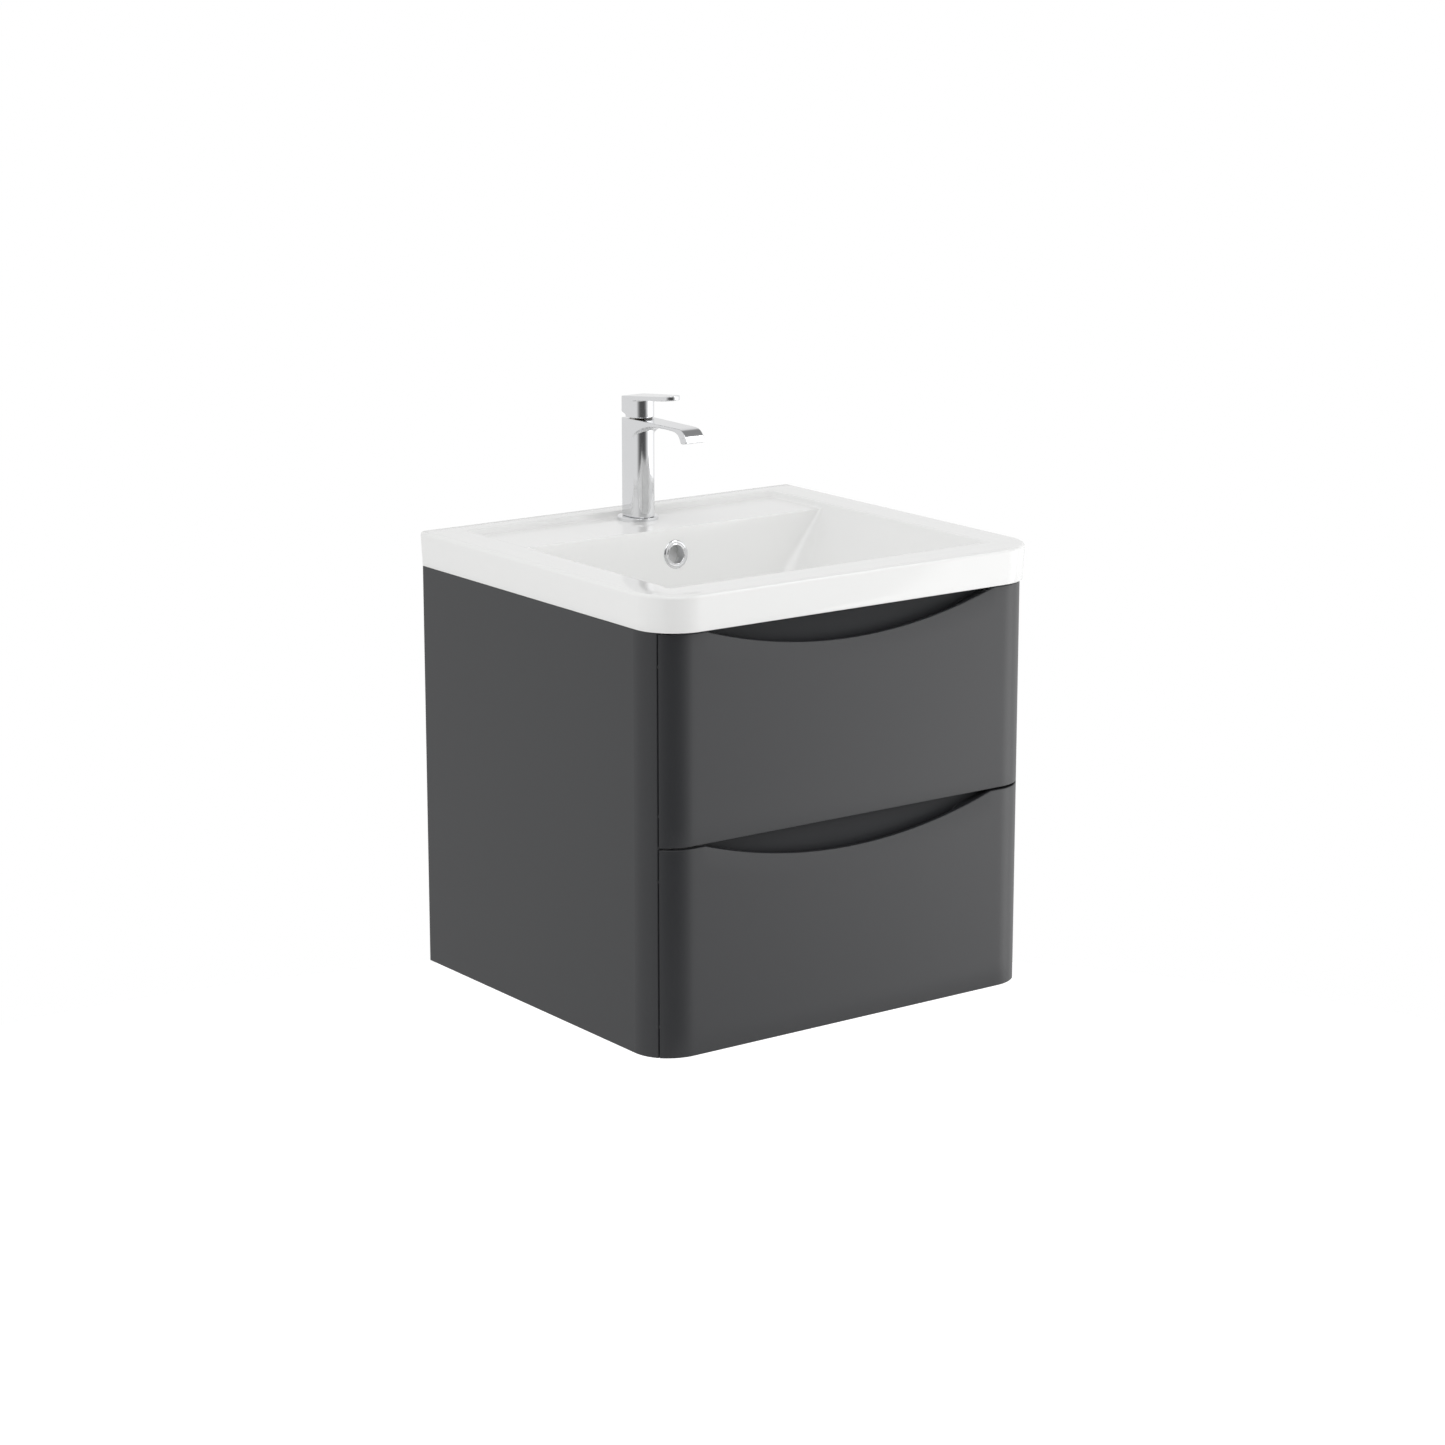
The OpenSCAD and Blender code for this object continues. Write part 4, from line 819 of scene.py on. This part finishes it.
def makeTapBody(shape):
    # The spout narrows to its tip, and its lower edges are rounded
    piece = solidCopy("tap_body", "tapBodyChrome")
    remeshed(piece, shape["voxel"])
    lows = undersideHeights(shape, piece)
    r, front = shape["underRound"], tapAxisY - shape["columnFront"]
    for vertex in piece.data.vertices:
        x, y, z = vertex.co
        low = lows.get(round(y * 1000))
        if low is None or z < low - shape["underLoose"]:
            continue
        along = (tapAxisY - y) / shape["spoutReach"]
        half = shape["spoutWidth"] + (shape["spoutTip"] - shape["spoutWidth"]) * along
        out, down = abs(x) - (half - r), low + r - z
        reach = math.hypot(out, down)
        if out > 0 and down > 0 and reach > r:
            pull = 1 - share(y, front, front - shape["underFade"]) * (1 - r / reach)
            vertex.co.x = math.copysign(half - r + out * pull, x)
            vertex.co.z = low + r - down * pull
    relaxed(piece, shape["rounds"])
    finishPiece(piece, "cabinet", "polished_chrome", 80.0, ("tap_body",))
    return piece


def makeTapHandle(shape):
    # The lever narrows to its tip
    piece = solidCopy("tap_handle", "tapHandleChrome")
    remeshed(piece, shape["voxel"])
    start, tip = tapAxisY - shape["spoutWidth"], tapAxisY - shape["leverReach"]
    for vertex in piece.data.vertices:
        vertex.co.x *= 1 - (1 - shape["leverTip"]) * share(vertex.co.y, start, tip)
    relaxed(piece, shape["leverRounds"])
    finishPiece(piece, "tap_lever", "polished_chrome", 80.0, ("tap_handle",))
    return piece


for piece in (makeTapBody(tapShape), makeTapHandle(tapShape)):
    print(piece.name, "made:", len(piece.data.polygons), "faces")


# ---- trees for screws, buffers and threads

def shapeTree(name, inputs):
    # A modifier's tree, with a finish as its last input
    tree, given, result = newTree(name, "GeometryNodeTree", [("Geometry", "Geometry", None)] + inputs
                                  + [("Finish", "Material", None)], [("Geometry", "Geometry")])
    tree.is_modifier = True
    return tree, given, result


def endTree(tree, given, result, geometry):
    real = addNode(tree, "GeometryNodeRealizeInstances", {"Geometry": geometry})
    coat = addNode(tree, "GeometryNodeSetMaterial", {
        "Geometry": real.outputs["Geometry"], "Material": given["Finish"]})
    tree.links.new(coat.outputs["Geometry"], result["Geometry"])
    return tree


def product(tree, first, *others):
    for value in others:
        first = maths(tree, "MULTIPLY", first, value)
    return first


def lengthOf(tree, x, y):
    return maths(tree, "SQRT", maths(tree, "ADD", product(tree, x, x), product(tree, y, y)))


def position(tree):
    return addNode(tree, "GeometryNodeInputPosition").outputs["Position"]


def apart(tree, vector):
    return addNode(tree, "ShaderNodeSeparateXYZ", {"Vector": vector}).outputs


def together(tree, **values):
    return addNode(tree, "ShaderNodeCombineXYZ", values).outputs["Vector"]


def raised(tree, mesh, height):
    # A mesh moved along Z
    return addNode(tree, "GeometryNodeTransform", {
        "Geometry": mesh, "Translation": together(tree, Z=height)}).outputs["Geometry"]


def atPoints(tree, given, shape):
    # A shape at each point of the piece, turned
    return addNode(tree, "GeometryNodeInstanceOnPoints", {
        "Points": given["Geometry"], "Instance": shape, "Rotation": given["Turn"]}).outputs["Instances"]


def screwTree():
    # Domed head with a cross recess on a shank, one at each point; the head's foot lies on the point
    tree, given, result = shapeTree("screws", [
        ("Head Radius", "Float", 0.004), ("Head Height", "Float", 0.0013), ("Dome", "Float", 0.0007),
        ("Shank Radius", "Float", 0.002), ("Shank Length", "Float", 0.01), ("Recess", "Float", 0.0044),
        ("Recess Width", "Float", 0.0009), ("Recess Depth", "Float", 0.0011), ("Sides", "Int", 32),
        ("Turn", "Rotation", None)])
    head = addNode(tree, "GeometryNodeMeshCylinder", {
        "Vertices": given["Sides"], "Fill Segments": 4, "Radius": given["Head Radius"],
        "Depth": given["Head Height"]}, fill_type="TRIANGLE_FAN")
    x, y, z = apart(tree, position(tree))
    outwards = maths(tree, "DIVIDE", lengthOf(tree, x, y), given["Head Radius"])
    crown = maths(tree, "SUBTRACT", 1.0, product(tree, outwards, outwards))
    lift = product(tree, crown, given["Dome"], maths(tree, "GREATER_THAN", z, 0.0))
    domed = addNode(tree, "GeometryNodeSetPosition", {
        "Geometry": head.outputs["Mesh"], "Offset": together(tree, Z=lift)})
    halfHead = product(tree, given["Head Height"], 0.5)
    top = maths(tree, "ADD", halfHead, given["Dome"])
    deep = product(tree, given["Recess Depth"], 2.0)
    slots = addNode(tree, "GeometryNodeMeshBoolean", operation="UNION", solver="EXACT")
    for wide, across in (("Recess", "Recess Width"), ("Recess Width", "Recess")):
        size = together(tree, X=given[wide], Y=given[across], Z=deep)
        bar = addNode(tree, "GeometryNodeMeshCube", {"Size": size})
        tree.links.new(raised(tree, bar.outputs["Mesh"], top), slots.inputs["Mesh 2"])
    cut = addNode(tree, "GeometryNodeMeshBoolean", {
        "Mesh 1": domed.outputs["Geometry"], "Mesh 2": slots.outputs["Mesh"]},
        operation="DIFFERENCE", solver="EXACT")
    shank = addNode(tree, "GeometryNodeMeshCylinder", {
        "Vertices": given["Sides"], "Radius": given["Shank Radius"], "Depth": given["Shank Length"]})
    whole = addNode(tree, "GeometryNodeJoinGeometry")
    for part, height in ((cut, halfHead), (shank, product(tree, given["Shank Length"], -0.5))):
        tree.links.new(raised(tree, part.outputs["Mesh"], height), whole.inputs["Geometry"])
    return endTree(tree, given, result, atPoints(tree, given, whole.outputs["Geometry"]))


def dotTree():
    # Soft dome with a flat foot, one at each point
    tree, given, result = shapeTree("softDots", [
        ("Radius", "Float", 0.0025), ("Height", "Float", 0.0015), ("Roundness", "Float", 3.0),
        ("Turn", "Rotation", None)])
    ball = addNode(tree, "GeometryNodeMeshUVSphere", {
        "Segments": 32, "Rings": 24, "Radius": given["Radius"]})
    x, y, z = apart(tree, position(tree))
    upwards = maths(tree, "DIVIDE", maths(tree, "MAXIMUM", z, 0.0), given["Radius"])
    left = maths(tree, "POWER", maths(tree, "SUBTRACT", 1.0, upwards), given["Roundness"])
    height = product(tree, maths(tree, "SUBTRACT", 1.0, left), given["Height"])
    shaped = addNode(tree, "GeometryNodeSetPosition", {
        "Geometry": ball.outputs["Mesh"], "Position": together(tree, X=x, Y=y, Z=height)})
    return endTree(tree, given, result, atPoints(tree, given, shaped.outputs["Geometry"]))


def threadTree():
    # Cuts a screw thread into the outer wall of a turned piece between two heights
    tree, given, result = shapeTree("thread", [
        ("Axis", "Vector", None), ("Low", "Float", 0.0), ("High", "Float", 0.01), ("Inside", "Float", 0.003),
        ("Depth", "Float", 0.0006), ("Pitch", "Float", 0.00125)])
    place = position(tree)
    local = addNode(tree, "ShaderNodeVectorMath", {0: place, 1: given["Axis"]}, operation="SUBTRACT")
    x, y = list(apart(tree, local.outputs["Vector"]))[:2]
    z = apart(tree, place)["Z"]
    away = lengthOf(tree, x, y)
    angle = maths(tree, "DIVIDE", maths(tree, "ARCTAN2", y, x), 2 * math.pi)
    turns = maths(tree, "SUBTRACT", maths(tree, "DIVIDE", z, given["Pitch"]), angle)
    ridge = product(tree, maths(tree, "PINGPONG", turns, 0.5), 2.0)
    where = product(tree, maths(tree, "GREATER_THAN", z, given["Low"]),
                    maths(tree, "LESS_THAN", z, given["High"]),
                    maths(tree, "GREATER_THAN", away, given["Inside"]))
    scale = maths(tree, "DIVIDE", product(tree, ridge, where, given["Depth"]), away)
    inwards = together(tree, X=product(tree, x, scale, -1.0), Y=product(tree, y, scale, -1.0))
    shaped = addNode(tree, "GeometryNodeSetPosition", {"Geometry": given["Geometry"], "Offset": inwards})
    return endTree(tree, given, result, shaped.outputs["Geometry"])


def grow(piece, tree, values):
    # Runs a tree on a piece with its inputs by name, and keeps the result as a plain mesh
    modifier = piece.modifiers.new(tree.name, "NODES")
    modifier.node_group = tree
    for item in tree.interface.items_tree:
        if item.in_out == "INPUT" and item.name in values:
            modifier[item.identifier] = values[item.name]
    return baked(piece)


def pointsPiece(name, places):
    mesh = bpy.data.meshes.new(name)
    mesh.from_pydata(places, [], [])
    return linked(name, mesh)


def joined(name, pieces):
    # Several pieces of one body as one mesh
    whole = bmesh.new()
    for piece in pieces:
        whole.from_mesh(piece.data)
        bpy.data.objects.remove(piece)
    return fromBmesh(name, whole)


screws, softDots, thread = screwTree(), dotTree(), threadTree()


# ---- screws and buffers

screwShape = {
    "Head Radius": 0.004, "Head Height": 0.0013, "Dome": 0.0007, "Shank Radius": 0.0019,
    "Shank Length": 0.0255, "Recess": 0.0044, "columns": 4}
runnerScrewShape = {
    "Head Radius": 0.0036, "Head Height": 0.0010, "Dome": 0.0008, "Shank Radius": 0.0014,
    "Shank Length": 0.010, "Recess": 0.0040, "count": 4, "inset": 0.035, "web": 0.0012}
hangerScrewShape = {
    "Head Radius": 0.0033, "Head Height": 0.0012, "Dome": 0.0004, "Shank Radius": 0.0020,
    "Shank Length": 0.0006, "Recess": 0.0042, "width": 0.016, "up": 0.015, "pitch": 0.015, "sunk": 0.0034}


def growScrews(name, places, shape, turn):
    return grow(pointsPiece(name, places), screws, dict(shape, Turn=turn, Finish=finishes["zinc_steel"]))


def makeFrontScrews(shape, node, body):
    # Two rows of screws that hold a front to its drawer
    low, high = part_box(node)
    r, count = shape["Head Radius"], shape["columns"]
    foot = high[1] - shape["Head Height"] - shape["Dome"]
    places = [(low[0] + r + (high[0] - low[0] - 2 * r) * i / (count - 1), foot, z)
              for i in range(count) for z in (low[2] + r, high[2] - r)]
    piece = growScrews(node + "Heads", places, shape, (-math.pi / 2, 0.0, 0.0))
    finishPiece(piece, body, "zinc_steel", 40.0, (node,))


def makeRunnerScrews(shape, prefix, body):
    # Pan heads in the channels of the two drawer rails
    sets, inset, count = [], shape["inset"], shape["count"]
    for side, way in (("left", -1), ("right", 1)):
        low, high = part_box(prefix + "_drawer_rail_" + side)
        inner = min(abs(low[0]), abs(high[0])) + shape["web"]
        row = (high[1] - low[1] - 2 * inset) / (count - 1)
        places = [(way * inner, low[1] + inset + row * i, (low[2] + high[2]) / 2) for i in range(count)]
        sets.append(growScrews(prefix + side, places, shape, (0.0, way * math.pi / 2, 0.0)))
    piece = joined(prefix + "RunnerScrews", sets)
    finishPiece(piece, body, "zinc_steel", 40.0)


def makeHangerScrews(shape):
    # Two screws in each hanger
    places = []
    for side, end in (("left", 0), ("right", 1)):
        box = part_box("hanger_" + side)
        x, low = box[end][0], box[0]
        x -= math.copysign(shape["width"] / 2, x)
        places += [(x, low[1] + shape["sunk"], low[2] + shape["up"] + i * shape["pitch"]) for i in (0, 1)]
    piece = growScrews("hangerScrews", places, shape, (math.pi / 2, 0.0, 0.0))
    finishPiece(piece, "cabinet", "zinc_steel", 40.0)


for prefix in ("lower", "upper"):
    makeFrontScrews(screwShape, prefix + "_front_screws", prefix + "_drawer")
    makeRunnerScrews(runnerScrewShape, prefix, prefix + "_drawer")
makeHangerScrews(hangerScrewShape)

bufferShape = {"Radius": 0.0025, "Roundness": 3.0, "inset": 0.040}


def makeBuffers(shape):
    # Soft dots that the fronts close against
    low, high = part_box("front_buffers")
    fronts = [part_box(front) for front in ("lower_front", "upper_front")]
    r, inset = shape["Radius"], shape["inset"]
    places = [(x, high[1], z) for x in (low[0] + r, high[0] - r)
              for front in fronts for z in (front[0][2] + inset, front[1][2] - inset)]
    piece = grow(pointsPiece("bufferDots", places), softDots, dict(
        shape, Height=high[1] - low[1], Turn=(math.pi / 2, 0.0, 0.0), Finish=finishes["black_rubber"]))
    finishPiece(piece, "cabinet", "black_rubber", 60.0, ("front_buffers",))


makeBuffers(bufferShape)
print("screws and buffers made")


# ---- overflow ring, waste and fixing stud

ringShape = {
    "bore": 0.0120, "sleeve": 0.0135, "flange": 0.0190, "proud": 0.0020, "depth": 0.0110, "seat": 0.00005,
    "mouth": ((0.0, 0.55), (0.00025, 0.85), (0.0008, 1.0), (0.0016, 0.97), (0.0021, 0.72), (0.0026, 0.66),
              (0.0032, 0.78), (0.0042, 0.82)),
    "rim": ((-0.0014, 0.62), (-0.0005, 0.42), (-0.0001, 0.2)),
}
wasteShape = {
    "flange": 0.0320, "flangeHeight": 0.0030, "tail": 0.020955, "bore": 0.0165, "grip": 0.025,
    "groove": 0.002, "edge": 0.001, "threadTop": 0.0512, "pitch": 0.002309, "threadDepth": 0.0010,
    "flangeFoot": ((-0.0004, 0.0), (0.0, 0.0005), (-0.0002, 0.0012)),
    "flangeTop": ((-0.0012, -0.0006), (-0.0032, 0.0)),
    "mouth": ((0.0060, 0.0), (0.0030, -0.0013), (0.0008, -0.0038), (0.0, -0.0065)),
    "slot": 0.0050, "slotDown": 0.0150, "slotFrom": 0.007, "hubRadius": 0.0075, "hubBore": 0.00505,
    "hubHeight": 0.010, "hubDown": 0.0370, "armTurns": (90, 210, 330), "arm": 0.0018, "armUp": 0.003,
    "armIn": 0.0008, "armOut": 0.001,
}
studShape = {"pitch": 0.00125, "threadDepth": 0.0007, "threadTop": 0.0262, "chamfer": 0.0006}


def turned(name, profile, centre, axis=(0, 0, 1), sides=96):
    # Closed outline of (radius, height) points swung round an axis
    turn = Vector(axis).to_track_quat("Z", "Y").to_matrix()
    points, faces, count = [], [], len(profile)
    for i in range(sides):
        a = 2 * math.pi * i / sides
        points += [Vector(centre) + turn @ Vector((r * math.cos(a), r * math.sin(a), z)) for r, z in profile]
    for i in range(sides):
        j = (i + 1) % sides
        for k in range(count):
            n = (k + 1) % count
            if profile[k][0] > 0 or profile[n][0] > 0:
                faces.append((i * count + k, j * count + k, j * count + n, i * count + n))
    return meshPiece(name, points, faces, 1e-7)


def cutThread(shape, piece, centre, low, high, inside, slot):
    grow(piece, thread, {"Axis": centre, "Low": low, "High": high, "Inside": inside,
                         "Depth": shape["threadDepth"], "Pitch": shape["pitch"], "Finish": finishes[slot]})


def wall(shape, radius, low, high):
    # Points up an outer wall, six to each turn of its thread
    return [(radius, z) for z in steps(low, (high, shape["pitch"] / 6))]


def around(radius, height, offsets):
    return [(radius + r, height + z) for r, z in offsets]


def makeOverflowRing(shape):
    bored, rim, proud, seat = shape["bore"], shape["flange"], shape["proud"], -shape["seat"]
    profile = [(bored, shape["depth"])]
    profile += [(bored + out, -proud * level) for out, level in shape["mouth"]]
    profile += [(rim + out, -proud * level) for out, level in shape["rim"]]
    profile += [(rim, seat), (shape["sleeve"], seat), (shape["sleeve"], shape["depth"])]
    piece = turned("overflowRingChrome", profile, overflow, bore)
    finishPiece(piece, "cabinet", "polished_chrome", 50.0, ("overflow_ring",))


def wasteHub(shape, top):
    # The hub that guides the plug, on three arms
    low = top - shape["hubDown"] - shape["hubHeight"] / 2
    high, hubBore, outer = low + shape["hubHeight"], shape["hubBore"], shape["hubRadius"]
    pieces = [turned("hub", [(hubBore, low), (outer, low), (outer, high), (hubBore, high)],
                     (0.0, wasteY, 0.0), sides=48)]
    middle = Vector((0.0, wasteY, low + shape["armUp"]))
    for turn in shape["armTurns"]:
        way = Vector((math.cos(math.radians(turn)), math.sin(math.radians(turn)), 0.0))
        pieces.append(rod("arm", middle + way * (outer - shape["armIn"]),
                          middle + way * (shape["bore"] + shape["armOut"]), shape["arm"], 24))
    return pieces


def makeWaste(shape):
    # A flanged tube with a thread in two parts, four slots and a hub
    low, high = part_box("waste_body")
    foot, top, tail, edge = low[2], high[2], shape["tail"], shape["edge"]
    flange, under = shape["flange"], top - shape["flangeHeight"]
    grip, last, inner = foot + shape["grip"], foot + shape["threadTop"], tail - edge
    start, centre = grip + shape["groove"], (0.0, wasteY, 0.0)
    profile = [(shape["bore"], foot), (inner, foot)] + wall(shape, tail, foot + edge, grip)
    profile += [(inner, grip + edge / 4), (inner, start - edge / 4)] + wall(shape, tail, start, last)
    profile += [(tail, under)] + around(flange, under, shape["flangeFoot"])
    profile += around(flange, top, shape["flangeTop"]) + around(shape["bore"], top, shape["mouth"])
    piece = turned("wasteTube", profile, centre)
    cutThread(shape, piece, centre, foot + edge * 1.5, last, tail - edge / 2, "polished_chrome")
    r, near, far = shape["slot"], shape["slotFrom"], math.sqrt(0.5) * flange
    z = top - shape["slotDown"] - r
    drill(piece, [rod("slotCut", (x * near, wasteY + y * near, z), (x * far, wasteY + y * far, z), r)
                  for x in (-1, 1) for y in (-1, 1)])
    piece = joined("wasteChrome", [piece] + wasteHub(shape, top))
    finishPiece(piece, "cabinet", "polished_chrome", 40.0, ("waste_body",))


def makeStud(shape):
    low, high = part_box("tap_stud")
    x, y, r = (low[0] + high[0]) / 2, (low[1] + high[1]) / 2, (high[0] - low[0]) / 2
    edge, last = shape["chamfer"], low[2] + shape["threadTop"]
    profile = [(0.0, low[2]), (r - edge, low[2])] + wall(shape, r, low[2] + edge, last)
    profile += [(r, high[2]), (0.0, high[2])]
    piece = turned("tapStudSteel", profile, (x, y, 0.0), sides=40)
    cutThread(shape, piece, (x, y, 0.0), low[2] + edge * 1.5, last, r / 2, "zinc_steel")
    finishPiece(piece, "cabinet", "zinc_steel", 40.0, ("tap_stud",))


makeOverflowRing(ringShape)
makeWaste(wasteShape)
makeStud(studShape)
print("overflow ring, waste and stud made")
